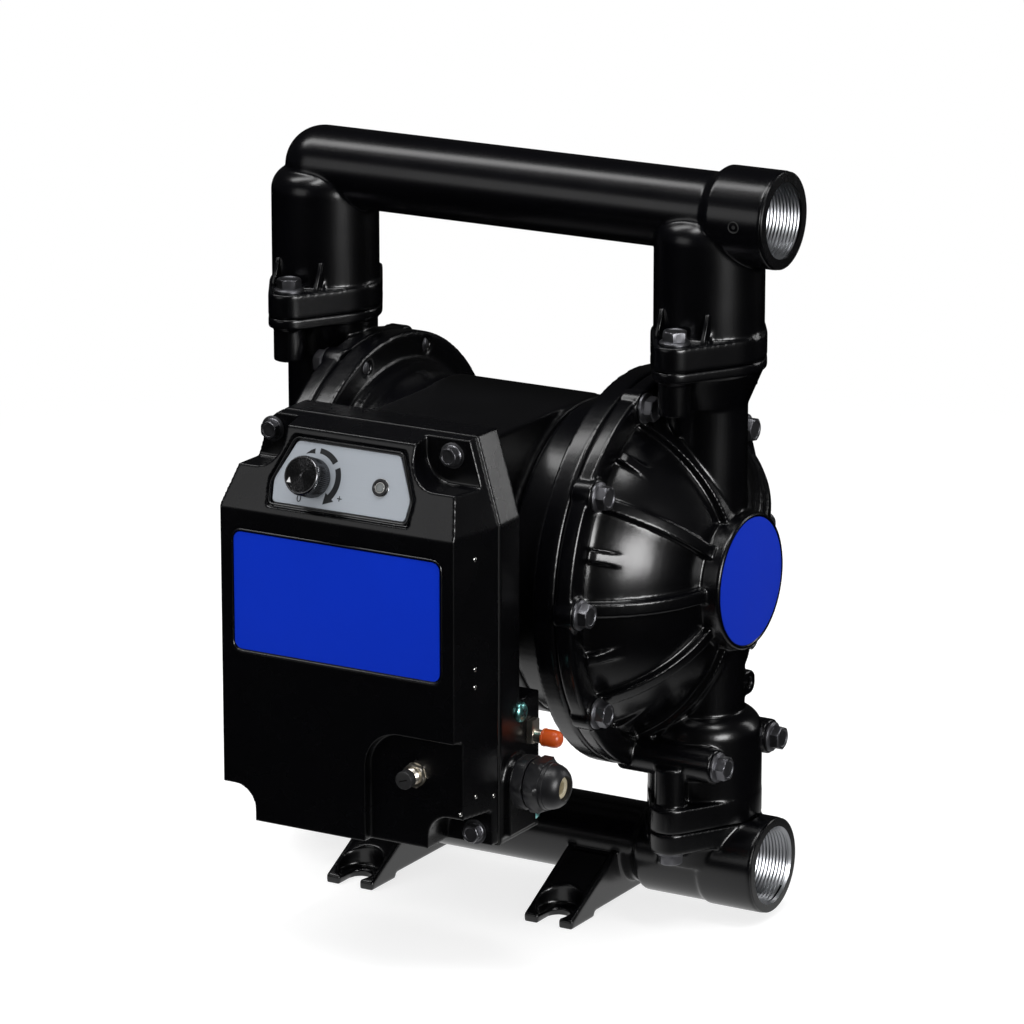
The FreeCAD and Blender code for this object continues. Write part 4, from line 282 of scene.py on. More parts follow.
both = paper.add("ShaderNodeMixShader", None, (camera_ray, unseen, shown))
paper.add("ShaderNodeOutputMaterial", None, {"Surface": both})
floor_mesh.materials.append(paper.owner)
print("floor of", FLOOR_RADIUS, "m radius")

# %% [markdown]
# ## Finishes
#
# Powder coat is a thin skin of melted plastic. It hides the sand texture of the casting
# under a fine orange peel, so it needs a slow change of gloss, a faint change of shade and
# two sizes of bump. The same recipe with other numbers makes zinc, steel and plastics.

# %% Coats and plain metals


def coat(name, colour, rough, metal=0.0, vary=0.08, tone=0.2, patch=35, grain=900, depth=0.02,
         fine=0.0, **more):
    """Finish with cloudy gloss and tone and a grainy skin.

    patch and grain count features per metre; depth and fine are bumps in mm.
    """
    finish = Finish(name)
    where = finish.place()
    cloud = finish.noise(where, patch)
    peel = finish.noise(where, grain, 2.0)
    normal = finish.bump(peel, depth * MM)
    if fine:
        normal = finish.bump(finish.noise(where, grain * 4, 1.0), fine * MM, under=normal)
    base = finish.blend(cloud * 0.6 + peel * 0.4, shade(colour, 1 - tone), shade(colour, 1 + tone))
    return finish.surface(Base_Color=base, Roughness=cloud * vary + (rough - vary / 2),
                          Metallic=metal, Normal=normal, **more)


BLACK = (0.0012, 0.0012, 0.0021)
black_coat = coat("black_coat", BLACK, 0.24, vary=0.07, tone=0.3, grain=750, depth=0.016,
                  fine=0.004)
black_sand = coat("black_sand", BLACK, 0.34, vary=0.10, tone=0.3, grain=520, depth=0.035,
                  fine=0.006)
black_die = coat("black_die", BLACK, 0.27, vary=0.08, tone=0.3, grain=1100, depth=0.014,
                 fine=0.004)
dark_zinc = coat("dark_zinc", (0.16, 0.16, 0.172), 0.4, 1.0, vary=0.16, tone=0.25, patch=260,
                 grain=1500, depth=0.012)
blue_plate = coat("blue_plate", (0.0, 0.028, 0.52), 0.6, vary=0.06, tone=0.03, patch=60,
                  grain=2200, depth=0.004, Specular_IOR_Level=0.06)
bright_steel = coat("bright_steel", (0.55, 0.54, 0.52), 0.24, 1.0, vary=0.12, patch=220,
                    grain=1800, depth=0.005)
plate_metal = coat("plate_metal", (0.62, 0.63, 0.64), 0.32, 1.0, vary=0.12, patch=120,
                   grain=1400, depth=0.008)
nickel = coat("nickel", (0.78, 0.73, 0.64), 0.3, 1.0, vary=0.12, tone=0.12, patch=300,
              grain=2400, depth=0.006)
bronze = coat("bronze", (0.5, 0.3, 0.12), 0.34, 1.0, vary=0.14, patch=150, grain=1600,
              depth=0.01)
magnet_skin = coat("magnet_skin", (0.3, 0.3, 0.31), 0.3, 1.0, vary=0.15, patch=180,
                   grain=1200, depth=0.01)
green_zinc = coat("green_zinc", (0.25, 0.62, 0.60), 0.3, 1.0, vary=0.18, tone=0.3, patch=400,
                  grain=2000, depth=0.01)
cast_grey = coat("cast_grey", (0.20, 0.225, 0.245), 0.5, 0.4, vary=0.12, tone=0.15, patch=150)
print(len(bpy.data.materials), "materials, with the floor's")

# %% [markdown]
# Plastics, rubber and ink don't conduct, so they keep their colour and only their gloss
# and grain differ. Rubber is rough, moulded nylon is half glossy, and a printed sign is
# matt with almost no grain.

# %% Plastics, rubber and ink
nylon = coat("nylon", (0.009, 0.009, 0.011), 0.38, patch=120, grain=700, depth=0.006)
cap_plastic = coat("cap_plastic", (0.02, 0.02, 0.021), 0.4, vary=0.1, patch=300, grain=2600,
                   depth=0.01)
orange_cap = coat("orange_cap", (0.66, 0.09, 0.008), 0.3, tone=0.08, patch=200, grain=1500,
                  depth=0.01, Subsurface_Weight=0.1)
black_rubber = coat("black_rubber", (0.012, 0.012, 0.012), 0.6, vary=0.14, patch=90,
                    grain=1300, depth=0.03)
cream_rubber = coat("cream_rubber", (0.62, 0.55, 0.38), 0.5, vary=0.12, tone=0.1, patch=200,
                    grain=1400)
ball_plastic = coat("ball_plastic", (0.72, 0.70, 0.64), 0.38, vary=0.1, tone=0.05, patch=80,
                    grain=1000, depth=0.008)
board_lacquer = coat("board_lacquer", (0.01, 0.13, 0.05), 0.3, vary=0.15, tone=0.35,
                     patch=240, grain=700, depth=0.03)
lens_grey = coat("lens_grey", (0.16, 0.17, 0.17), 0.12, vary=0.05, tone=0.1, patch=400,
                 grain=3000, depth=0.002)
# This finish also paints the shade in the cross recesses of the ground screws.
ink = coat("ink", (0.012, 0.013, 0.016), 0.5, patch=200, grain=2500, depth=0.003)
white_ink = coat("white_ink", (0.8, 0.8, 0.8), 0.5, tone=0.04, patch=200, grain=2500,
                 depth=0.003)
print(len(bpy.data.materials), "materials")

# %% [markdown]
# Some finishes have a direction. The panel is brushed along X, stator sheets lie in a
# stack along the shaft, and windings show the wires they are made of. A thread is cut by
# a tool that leaves fine rings, and so is the face of the knob, whose rings lie about its
# own axis.

# %% Finishes with a direction


def streaked(name, colour, rough, metal, stretch, scale, depth, tone=0.12):
    """Finish whose marks are drawn out along one axis by stretch."""
    finish = Finish(name)
    lines = finish.noise(finish.place(stretch), scale, 4.0, 0.65)
    cloud = finish.noise(finish.place(), 25)
    base = finish.blend(lines, shade(colour, 1 - tone), shade(colour, 1 + tone))
    return finish.surface(Base_Color=base, Roughness=lines * 0.12 + cloud * 0.08 + (rough - 0.1),
                          Metallic=metal, Normal=finish.bump(lines, depth * MM))


def spun(name, colour, rough, centre, out, rings, depth):
    """Metal turned on a lathe: rings per metre about an axis through centre along out."""
    finish = Finish(name)
    spot = finish.add("ShaderNodeTexCoord", out="Object")
    arm = finish.add("ShaderNodeVectorMath", {"operation": "SUBTRACT"}, (spot, tuple(centre)))
    across = finish.add("ShaderNodeVectorMath", {"operation": "CROSS_PRODUCT"}, (arm, tuple(out)))
    radius = finish.add("ShaderNodeVectorMath", {"operation": "LENGTH"}, (across,), out="Value")
    wave = finish.add("ShaderNodeMath", {"operation": "SINE"}, (radius * (rings * math.tau),))
    cloud = finish.noise(finish.place(), 300)
    base = finish.blend(cloud, shade(colour, 0.85), shade(colour, 1.15))
    return finish.surface(Base_Color=base, Roughness=cloud * 0.08 + (rough - 0.04), Metallic=1.0,
                          Normal=finish.bump(wave * 0.5 + 0.5, depth * MM))


silver_panel = streaked("silver_panel", (0.42, 0.455, 0.50), 0.42, 0.25, (0.02, 1, 1), 2600,
                        0.004, tone=0.06)
cut_aluminium = streaked("cut_aluminium", (0.42, 0.43, 0.45), 0.34, 1.0, (1, 0.05, 0.05), 1800,
                         0.01)
lamination_steel = streaked("lamination_steel", (0.22, 0.22, 0.23), 0.42, 1.0, (1, 0.04, 0.04),
                            900, 0.04, tone=0.3)
copper_wire = streaked("copper_wire", (0.55, 0.2, 0.06), 0.3, 1.0, (0.05, 1, 1), 1100, 0.12,
                       tone=0.35)
print(len(bpy.data.materials), "materials")

# %% [markdown]
# ## Castings
#
# The solids have knife edges, but sand and die castings have none: metal shrinks and the
# pattern is filleted, so every rib grows out of its wall through a small curve. Bevelling
# so many meeting edges by rule fails, so each casting is grown again on an even grid
# (a voxel remesh) and eased a few times, which rounds all edges and roots at once.

# %% Copies of solids
WELD = 0.004 * MM


def baked(piece):
    """Mesh of what an object shows with its modifiers."""
    graph = bpy.context.evaluated_depsgraph_get()
    return bpy.data.meshes.new_from_object(piece.evaluated_get(graph))


def settle(piece):
    """Make what the modifiers show the piece's own mesh."""
    mesh = baked(piece)
    piece.modifiers.clear()
    piece.data = mesh
    return piece


def new_piece(name, mesh):
    """Object for a mesh that is already in its place."""
    piece = bpy.data.objects.new(name, mesh)
    scene.collection.objects.link(piece)
    return piece


def merged(node, name, flat=None):
    """Copy of a solid whose loose triangles are joined at their corners.

    Triangles that meet at less than flat degrees become one face.
    """
    shape = bmesh.new()
    shape.from_mesh(solids[node].data)
    bmesh.ops.remove_doubles(shape, verts=shape.verts, dist=WELD)
    if flat:
        bmesh.ops.dissolve_limit(shape, angle_limit=math.radians(flat), verts=shape.verts,
                                 edges=shape.edges)
    mesh = bpy.data.meshes.new(name)
    shape.to_mesh(mesh)
    shape.free()
    return new_piece(name, mesh)


def dress(piece, body, slot_name, finish, *replaced):
    """Finish, body and replaced solids of one piece; the slot name is not used."""
    piece.data.materials.clear()
    piece.data.materials.append(finish)
    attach(piece, body)
    if replaced:
        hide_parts(*replaced)
    return piece

# %% [markdown]
# The port bores are first widened a little, so that the cut threads can stand in them, and
# the faces are set back for the lips. The new skin is thinned out only where it has more
# triangles than a printable file should hold.

# %% Growing a casting
MOST_TRIANGLES = 170000
OUTLET_FACE, OUTLET_HEIGHT = 178.8, 422.4
INLET_FACE, INLET_HEIGHT = 177.3, 32.9
PORT_RADIUS, PORT_DEPTH, LIP = 22.25, 26.0, 1.2
ON_FACE, ON_BORE = 0.1, 0.2


def triangles(piece):
    """How many triangles a piece has."""
    return sum(len(face.vertices) - 2 for face in piece.data.polygons)


def grow(piece, grid, easing):
    """New even skin with rounded edges and roots, thinned out where it is too fine."""
    remesh = piece.modifiers.new("remesh", "REMESH")
    remesh.mode = "VOXEL"
    remesh.voxel_size = grid * MM
    ease = piece.modifiers.new("ease", "SMOOTH")
    ease.factor = 0.5
    ease.iterations = easing
    settle(piece)
    if triangles(piece) > MOST_TRIANGLES:
        thin = piece.modifiers.new("thin", "DECIMATE")
        thin.ratio = MOST_TRIANGLES / triangles(piece)
        settle(piece)
    for face in piece.data.polygons:
        face.use_smooth = True
    print(piece.name, triangles(piece), "triangles")
    return piece


def turned_about(piece, name):
    """Copy turned half way round the upright axis, for the other end of the pump."""
    mesh = piece.data.copy()
    mesh.transform(Matrix.Rotation(math.pi, 4, "Z"))
    return new_piece(name, mesh)


def opened(piece, axis_height, face, wide):
    """Widen the bore of a port for its thread, and set its face back for the lip."""
    for corner in piece.data.vertices:
        x, y, z = corner.co / MM
        radius = math.hypot(y, z - axis_height)
        if x > face - PORT_DEPTH - ON_FACE and abs(radius - PORT_RADIUS) < ON_BORE:
            y, z = y * wide / radius, axis_height + (z - axis_height) * wide / radius
        if x > face - ON_FACE:
            x -= LIP / 2
        corner.co = Vector((x, y, z)) * MM
    return piece

# %% [markdown]
# The two ends of the pump are the same casting turned half way round, so each cover is
# grown once and copied. Grid sizes differ: ribs and small bosses need a fine grid, while a
# plain motor barrel does with a coarse one.

# %% Grow the castings
CASTINGS = {
    "outlet_manifold": ("outlet_casting", 0.9, 9, black_coat),
    "inlet_manifold": ("inlet_casting", 0.9, 9, black_coat),
    "motor_housing": ("motor_casting", 1.5, 4, black_sand),
    "control_housing": ("box_back_casting", 1.1, 2, black_die),
    "control_cover": ("box_front_casting", 0.9, 2, black_die),
}
PORTS = {
    "outlet_manifold": (OUTLET_HEIGHT, OUTLET_FACE, 23.4),
    "inlet_manifold": (INLET_HEIGHT, INLET_FACE, 23.6),
}
for node, (name, grid, easing, finish) in CASTINGS.items():
    piece = merged(node, name)
    if node in PORTS:
        opened(piece, *PORTS[node])
    dress(grow(piece, grid, easing), "pump_body", "black_coat", finish, node)
for node, grid, easing in (("fluid_cover", 0.9, 6), ("air_cover", 1.4, 4)):
    right = grow(merged("right_" + node, "right_" + node + "_casting"), grid, easing)
    left = turned_about(right, "left_" + node + "_casting")
    for side, piece in (("right_", right), ("left_", left)):
        dress(piece, "pump_body", "black_coat", black_coat, side + node)

# %% [markdown]
# ## Small parts from rings
#
# Bolts, knobs, nuts, caps and plugs are turned or pressed on an axis. Each is drawn as a
# row of rings from one end to the other. A ring's radius may be a rule of the angle, which
# makes hexagons and knurls, and a hexagon that is cut off by a smaller circle near its end
# gets the curved chamfer of a real nut.

# %% Rings and outlines


def crisp(mesh, limit=33):
    """Smooth shading that stops at edges sharper than the limit in degrees."""
    for face in mesh.polygons:
        face.use_smooth = True
    mesh.set_sharp_from_angle(angle=math.radians(limit))
    return mesh


def skin(name, loops, around=False):
    """Closed mesh through loops of points in mm; around joins the last loop to the first."""
    shape = bmesh.new()
    rows = [[shape.verts.new(Vector(point) * MM) for point in loop] for loop in loops]
    for low, high in zip(rows, rows[1:] + (rows[:1] if around else [])):
        for step, corner in enumerate(low):
            after = (step + 1) % len(low)
            shape.faces.new((corner, low[after], high[after], high[step]))
    if not around:
        shape.faces.new(rows[0])
        shape.faces.new(rows[-1])
    bmesh.ops.recalc_face_normals(shape, faces=shape.faces)
    mesh = bpy.data.meshes.new(name)
    shape.to_mesh(mesh)
    shape.free()
    return crisp(mesh)


def turned(name, rings, sides=36, around=False):
    """Skin about Z through rings of (height, radius); a radius may be a rule of the angle."""
    loops = []
    for height, radius in rings:
        angles = [math.tau * step / sides for step in range(sides)]
        reaches = [radius(angle) if callable(radius) else radius for angle in angles]
        loops.append([(reach * math.cos(angle), reach * math.sin(angle), height)
                      for reach, angle in zip(reaches, angles)])
    return skin(name, loops, around)


def hexagon(across, limit=99.0):
    """Rule for a hexagon's radius, cut off by a circle."""
    def radius(angle):
        off_flat = (angle + math.pi / 6) % (math.pi / 3) - math.pi / 6
        return min(across / 2 / math.cos(off_flat), limit)
    return radius


def knurl(radius, teeth, depth):
    """Rule for a toothed rim."""
    return lambda angle: radius - depth * (0.5 + 0.5 * math.cos(teeth * angle))


def prism(name, outline, low, high):
    """Plate with a flat outline in mm, between two heights."""
    return skin(name, [[(x, y, height) for x, y in outline] for height in (low, high)])

# %% [markdown]
# A part that was drawn about the Z axis is then laid where it belongs: its axis starts at a
# point and looks outwards. The place goes into the mesh, so every finished piece keeps
# its object at the origin, as the solids do.

# %% Places


def standing(point, out, spin=0.0):
    """Place whose Z axis starts at a point in mm and looks outwards."""
    turn = Vector(out).to_track_quat("Z", "Y") @ Quaternion((0, 0, 1), spin)
    return Matrix.Translation(Vector(point) * MM) @ turn.to_matrix().to_4x4()


def set_at(place, mesh):
    """The mesh, moved to its place."""
    mesh.transform(place)
    return mesh


def together(name, *meshes):
    """One mesh from several."""
    shape = bmesh.new()
    for mesh in meshes:
        shape.from_mesh(mesh)
    whole = bpy.data.meshes.new(name)
    shape.to_mesh(whole)
    shape.free()
    return whole


def fit(place, mesh, slot_name, finish, *replaced, body="pump_body"):
    """Finished piece from a mesh and its place, with the mesh's name."""
    return dress(new_piece(mesh.name, set_at(place, mesh)), body, slot_name, finish, *replaced)

# %% [markdown]
# ## Plans for what repeats or follows a path
#
# Geometry Nodes put one bolt on many seats, sweep a thread along a spiral and lay thin
# frames along a line. A plan is such a tree with named inputs; running it leaves plain mesh.

# %% Plan


class Plan(Board):
    """Geometry tree under construction, with named inputs."""

    def __init__(self, name, **kinds):
        super().__init__(bpy.data.node_groups.new(name, "GeometryNodeTree"))
        sockets = self.tree.interface
        sockets.new_socket("Geometry", in_out="OUTPUT", socket_type="NodeSocketGeometry")
        for label, kind in {"Geometry": "Geometry", **kinds, "Finish": "Material"}.items():
            sockets.new_socket(label, in_out="INPUT", socket_type="NodeSocket" + kind)
        self.entry = self.tree.nodes.new("NodeGroupInput")

    def given(self, label):
        """Wire from a named input."""
        return Wire(self, self.entry.outputs[label])

    def shape_of(self, label):
        """Geometry of the object on a named input."""
        return self.add("GeometryNodeObjectInfo", None, {"Object": self.given(label)},
                        out="Geometry")

    def attribute(self, kind, name):
        """Value that each point of the piece carries under a name."""
        return self.add("GeometryNodeInputNamedAttribute", {"data_type": kind}, {"Name": name})

    def close(self, shape):
        """Make copies real, give them the finish and end the tree."""
        real = self.add("GeometryNodeRealizeInstances", None, (shape,))
        dressed = self.add("GeometryNodeSetMaterial", None, {
            "Geometry": real, "Material": self.given("Finish")})
        self.add("NodeGroupOutput", None, (dressed,))
        print("plan", self.tree.name, "with", len(self.tree.nodes), "nodes")

    def run(self, piece, **values):
        """Give the plan to a piece with these inputs and keep the mesh that it makes."""
        modifier = piece.modifiers.new(self.tree.name, "NODES")
        modifier.node_group = self.tree
        for item in self.tree.interface.items_tree:
            if item.in_out == "INPUT" and item.name in values:
                modifier[item.identifier] = values[item.name]
        return settle(piece)

# %% [markdown]
# The first plan reads where each seat looks and how long its bolt is from two attributes,
# and puts a head and a stretched shank on it. The second sweeps one tooth along a spiral,
# and the third a round wire along a drawn line.

# %% The three plans
bolting = Plan("bolting", Head="Object", Shank="Object")
turn = bolting.add("FunctionNodeEulerToRotation", None,
                   (bolting.attribute("FLOAT_VECTOR", "turn"),))
stretch = bolting.add("ShaderNodeCombineXYZ", None,
                      (1.0, 1.0, bolting.attribute("FLOAT", "reach")))
heads = bolting.add("GeometryNodeInstanceOnPoints", None, {
    "Points": bolting.given("Geometry"), "Instance": bolting.shape_of("Head"),
    "Rotation": turn})
shanks = bolting.add("GeometryNodeInstanceOnPoints", None, {
    "Points": bolting.given("Geometry"), "Instance": bolting.shape_of("Shank"),
    "Rotation": turn, "Scale": stretch})
bolting.close(bolting.add("GeometryNodeJoinGeometry", None, ([heads, shanks],)))

threading = Plan("threading", Tooth="Object", Pitch="Float", Turns="Float", Radius="Float")
spiral = threading.add("GeometryNodeCurveSpiral", None, {
    "Resolution": 80, "Rotations": threading.given("Turns"),
    "Start Radius": threading.given("Radius"), "End Radius": threading.given("Radius"),
    "Height": threading.given("Turns") * threading.given("Pitch")})
upright = threading.add("GeometryNodeSetCurveNormal", {"mode": "Z_UP"}, (spiral,))
tooth = threading.add("GeometryNodeMeshToCurve", None, (threading.shape_of("Tooth"),))
threading.close(threading.add("GeometryNodeCurveToMesh", None, {
    "Curve": upright, "Profile Curve": tooth, "Fill Caps": True}))

edging = Plan("edging", Radius="Float")
line = edging.add("GeometryNodeMeshToCurve", None, (edging.given("Geometry"),))
wire = edging.add("GeometryNodeCurvePrimitiveCircle", None, {
    "Resolution": 10, "Radius": edging.given("Radius")})
edging.close(edging.add("GeometryNodeCurveToMesh", None, {
    "Curve": line, "Profile Curve": wire, "Fill Caps": True}))


def line_piece(name, points, closed=True):
    """Piece made only of edges, through points in mm."""
    mesh = bpy.data.meshes.new(name)
    pairs = [(step, step + 1) for step in range(len(points) - 1)]
    if closed:
        pairs.append((len(points) - 1, 0))
    mesh.from_pydata([Vector(point) * MM for point in points], pairs, [])
    return new_piece(name, mesh)


def bead(name, points, radius, finish, closed=True):
    """Thin round bead along a line."""
    piece = edging.run(line_piece(name, points, closed), Radius=radius * MM, Finish=finish)
    crisp(piece.data)
    return dress(piece, "pump_body", "black_coat", finish)

# %% [markdown]
# ## Bolts
#
# The covers are held by ten M8 screws each, two of them long ones through the lower
# bosses. Real heads are forged: a round flange, a hexagon with a turned chamfer and a
# shallow dish on top. The box has M6 screws with washers, and small pins at its edge.

# %% Heads and shanks
M8_HEX, M6_HEX = 13, 10
cover_head = new_piece("cover_head", turned("cover_head", [
    (0, 8.6), (0.3, 9), (1.4, 9), (2.1, 8.1), (2.4, hexagon(M8_HEX, 7.3)),
    (2.8, hexagon(M8_HEX)), (7.1, hexagon(M8_HEX)), (7.6, hexagon(M8_HEX, 7.0)),
    (8.0, hexagon(M8_HEX, 6.3)), (8.0, 5.3), (7.55, 4.7), (7.5, 0.6)]))
cover_shank = new_piece("cover_shank", turned("cover_shank", [
    (-1, 3.3), (-0.97, 3.95), (0, 3.95)], 24))
box_head = new_piece("box_head", turned("box_head", [
    (0, 7.2), (0.2, 7.5), (0.8, 7.5), (1.0, 7.2), (1.05, 6.1), (1.6, 5.7),
    (1.8, hexagon(M6_HEX)), (5.1, hexagon(M6_HEX)), (5.6, hexagon(M6_HEX, 5.4)),
    (6.0, hexagon(M6_HEX, 4.8)), (6.0, 3.9), (5.6, 3.4), (5.55, 0.5)]))
box_shank = new_piece("box_shank", turned("box_shank", [
    (-1, 2.4), (-0.97, 2.95), (0, 2.95)], 24))
pin_head = new_piece("pin_head", turned("pin_head", [
    (-0.3, 1.3), (0.1, 1.3), (0.35, 0.9), (0.45, 0.15)], 12))
pin_shank = new_piece("pin_shank", turned("pin_shank", [(-1, 0.5), (0, 0.5)], 8))
templates = (cover_head, cover_shank, box_head, box_shank, pin_head, pin_shank)
print([(template.name, triangles(template)) for template in templates])

# %% [markdown]
# The seats are points with a direction and a length, and no two bolts end at the same
# angle, because nobody tightens them so. The plan puts a head and a shank on each seat,
# and the heads and shanks that it copied are then taken away.

# %% Bolts on their seats
PUMP_AXIS, BOLT_CIRCLE, PIPE_X = 205.2, 110.5, 130.7
RIM_SEAT, BOSS_SEAT, THREAD_END = 107.5, 157.0, 81.5
BOSS_BOLTS = (8, 9)
FLANGE_BOLT_Y, UPPER_FLANGE, LOWER_FLANGE = 41.5, 352.8, 47.0
TURN_BETWEEN_BOLTS = 0.71


def bolts(name, places, head, shank, finish, *replaced):
    """Bolts on seats given as (point, direction, length in mm)."""
    mesh = bpy.data.meshes.new(name)
    mesh.from_pydata([Vector(point) * MM for point, out, length in places], [], [])
    mesh.attributes.new("turn", "FLOAT_VECTOR", "POINT")
    mesh.attributes.new("reach", "FLOAT", "POINT")
    for number, (point, out, length) in enumerate(places):
        place = standing(point, out, number * TURN_BETWEEN_BOLTS)
        mesh.attributes["turn"].data[number].vector = place.to_euler()
        mesh.attributes["reach"].data[number].value = length
    piece = bolting.run(new_piece(name, mesh), Head=head, Shank=shank, Finish=finish)
    print(name, len(places), "on", triangles(piece), "triangles")
    return dress(piece, "pump_body", "dark_zinc", finish, *replaced)


for side, sign in (("right", 1), ("left", -1)):
    places = []
    for number in range(10):
        angle = math.radians(36 * number - 36)
        seat = BOSS_SEAT if number in BOSS_BOLTS else RIM_SEAT
        places.append(((sign * seat, sign * BOLT_CIRCLE * math.cos(angle),
                        PUMP_AXIS + BOLT_CIRCLE * math.sin(angle)),
                       (sign, 0, 0), seat - THREAD_END))
    bolts(side + "_bolts", places, cover_head, cover_shank, dark_zinc, side + "_cover_bolts")
corners = [(PIPE_X * side, FLANGE_BOLT_Y * hand) for side in (-1, 1) for hand in (-1, 1)]
bolts("outlet_bolts", [((x, y, UPPER_FLANGE), (0, 0, 1), 24.8) for x, y in corners],
      cover_head, cover_shank, dark_zinc, "outlet_manifold_bolts")
bolts("inlet_bolts", [((x, y, LOWER_FLANGE), (0, 0, -1), 23.0) for x, y in corners],
      cover_head, cover_shank, dark_zinc, "inlet_manifold_bolts")
low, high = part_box("control_cover_bolts")
LEFT_FOOT_BOLT = low.x / MM + 7.5
BOX_SEATS = ((-59.7, 307.3), (59.7, 307.3), (73.8, 86.8), (LEFT_FOOT_BOLT, 86.8))
bolts("box_bolts", [((x, -171, z), (0, -1, 0), 17.0) for x, z in BOX_SEATS],
      box_head, box_shank, dark_zinc, "control_cover_bolts")
PIN_SEATS = ((81.7, -183.8, 252.6), (81.7, -184, 188.1), (81.7, -184, 177.5),
             (81.8, -183.4, 112.6), (85.3, -169.1, 109.6), (78.9, -195.2, 104.8))
bolts("box_pins", [(seat, (0.98, -0.2, 0), 2.0) for seat in PIN_SEATS],
      pin_head, pin_shank, bright_steel)
for template in templates:
    bpy.data.objects.remove(template)

# %% [markdown]
# ## Gussets
#
# Two thin fins on each side brace every riser against its flange. One outline serves for
# all eight, as a plate with two loops, and a narrow bevel takes their knife edges off.

# %% Gussets
FIN = [(24, -1), (36.5, -1), (36.2, 3), (30.4, 16.2), (29.6, 16.8), (24, 16.8)]
FIN_OFFSET, HALF_FIN = 15, 1.3
fins = []
for centre in (-PIPE_X, PIPE_X):
    for offset in (-FIN_OFFSET, FIN_OFFSET):
        for hand in (-1, 1):
            fins.append(skin("fin", [
                [(centre + offset + side, hand * reach, UPPER_FLANGE + rise)
                 for reach, rise in FIN] for side in (-HALF_FIN, HALF_FIN)]))
gussets = new_piece("gussets", together("gussets", *fins))
edge = gussets.modifiers.new("edge", "BEVEL")
edge.width = 0.5 * MM
edge.segments = 2
settle(gussets)
crisp(gussets.data, 50)
dress(gussets, "pump_body", "black_coat", black_coat)
print(len(fins), "gussets on", triangles(gussets), "triangles")

# %% [markdown]
# ## Threads in the ports
#
# Both ports are cut with a pipe thread after painting, so the thread is bare aluminium in
# a black mouth. The plan sweeps one tooth along a spiral. Behind the thread the casting is
# grey, and the lower mouth has a turned chamfer.

# %% Threads
PITCH = 2.209
ALONG_X = (1, 0, 0)
tooth_line = line_piece("tooth", [
    (0, 0.12, 0), (-0.85, PITCH / 2, 0), (-1.4, PITCH / 2, 0),
    (-1.4, -PITCH / 2, 0), (-0.85, -PITCH / 2, 0), (0, -0.12, 0)])
for name, face, height, gap, mouth in (
        ("outlet_thread", OUTLET_FACE, OUTLET_HEIGHT, 0.5, 22.3),
        ("inlet_thread", INLET_FACE, INLET_HEIGHT, 1.4, 23.5)):
    back = face - PORT_DEPTH
    thread = new_piece(name, bpy.data.meshes.new(name))
    length = PORT_DEPTH - gap - PITCH
    threading.run(thread, Tooth=tooth_line, Pitch=PITCH * MM, Turns=length / PITCH,
                  Radius=PORT_RADIUS * MM, Finish=cut_aluminium)
    set_at(standing((back + PITCH / 2, 0, height), ALONG_X), thread.data)
    crisp(thread.data, 25)
    dress(thread, "pump_body", "plate_aluminium", cut_aluminium)
    liner = turned(name + "_liner", [(0.2, 23.4), (0.2, 18.0), (-45, 18.0), (-45, 18.6),
                                     (-0.6, 18.6), (-0.6, 23.4)], 72, around=True)
    fit(standing((back, 0, height), ALONG_X), liner, "plate_aluminium", cast_grey)
    lip = turned(name + "_lip", [(-LIP, mouth), (0, mouth), (0, 28.0), (-0.3, 28.4),
                                 (-LIP, 28.4)], 96, around=True)
    fit(standing((face, 0, height), ALONG_X), lip, "black_coat", black_die)
    print(name, round(length / PITCH, 1), "turns,", triangles(thread), "triangles")
bpy.data.objects.remove(tooth_line)
mouth = turned("inlet_mouth", [(-1.5, 22.2), (-0.1, 23.4), (-0.1, 23.9), (-1.5, 23.9)], 96,
               around=True)
fit(standing((INLET_FACE, 0, INLET_HEIGHT), ALONG_X), mouth, "plate_aluminium", cut_aluminium)

# %% [markdown]
# The collar of the upper port has a small plug in its side, with a raised ring around a
# dished disc. Both are turned, and they are joined into one piece.

# %% Plug in the collar
plug = together(
    "collar_plug",
    turned("plug_rim", [(-0.5, 3.5), (0.1, 3.5), (0.3, 3.2), (0.1, 2.9), (-0.5, 2.9)], 32,
           around=True),
    turned("plug_disc", [(-0.6, 3.0), (-0.15, 3.0), (-0.25, 1.3), (0.05, 1.0), (0.05, 0.3)], 32))
fit(standing((161, -28.8, 422), (0, -1, 0)), plug, "black_coat", black_rubber)
print("plug of", len(plug.polygons), "faces")

# %% [markdown]
# ## The panel
#
# The panel lies on the slope of the box, so its pieces are drawn flat and then laid on the
# slope by one matrix. Its outline is a list of corners, each rounded by a short curve.

# %% Panel
SLOPE_FOOT = Vector((0, -201, 266)) * MM
SLOPE_DEPTH, SLOPE_RISE = 18, 48
SLOPE_TILT = math.pi / 2 - math.atan2(SLOPE_DEPTH, SLOPE_RISE)
SLOPE = Matrix.Translation(SLOPE_FOOT) @ Matrix.Rotation(SLOPE_TILT, 4, "X")
PANEL_FACE = -0.6
PANEL_MIDDLE = 25
KNOB_SPOT, LAMP_SPOT = (-19.5, 23.7), (24.8, 24.2)


def rounded(corners, radius, steps=5):
    """Outline with its corners rounded by short curves."""
    points = []
    for number, corner in enumerate(corners):
        here = Vector(corner)
        before = (Vector(corners[number - 1]) - here).normalized() * radius + here
        after = (Vector(corners[(number + 1) % len(corners)]) - here).normalized() * radius + here
        for step in range(steps + 1):
            share = step / steps
            point = before.lerp(here, share).lerp(here.lerp(after, share), share)
            points.append((point.x, point.y))
    return points


def spread(outline, margin):
    """Panel's outline moved outwards by about the margin."""
    return [(x + margin * (1 if x > 0 else -1), y + margin * (1 if y > PANEL_MIDDLE else -1))
            for x, y in outline]


def on_panel(spot, height=0.0):
    """Place on the panel's face, for a piece drawn about Z."""
    return SLOPE @ Matrix.Translation(Vector((*spot, PANEL_FACE + height)) * MM)


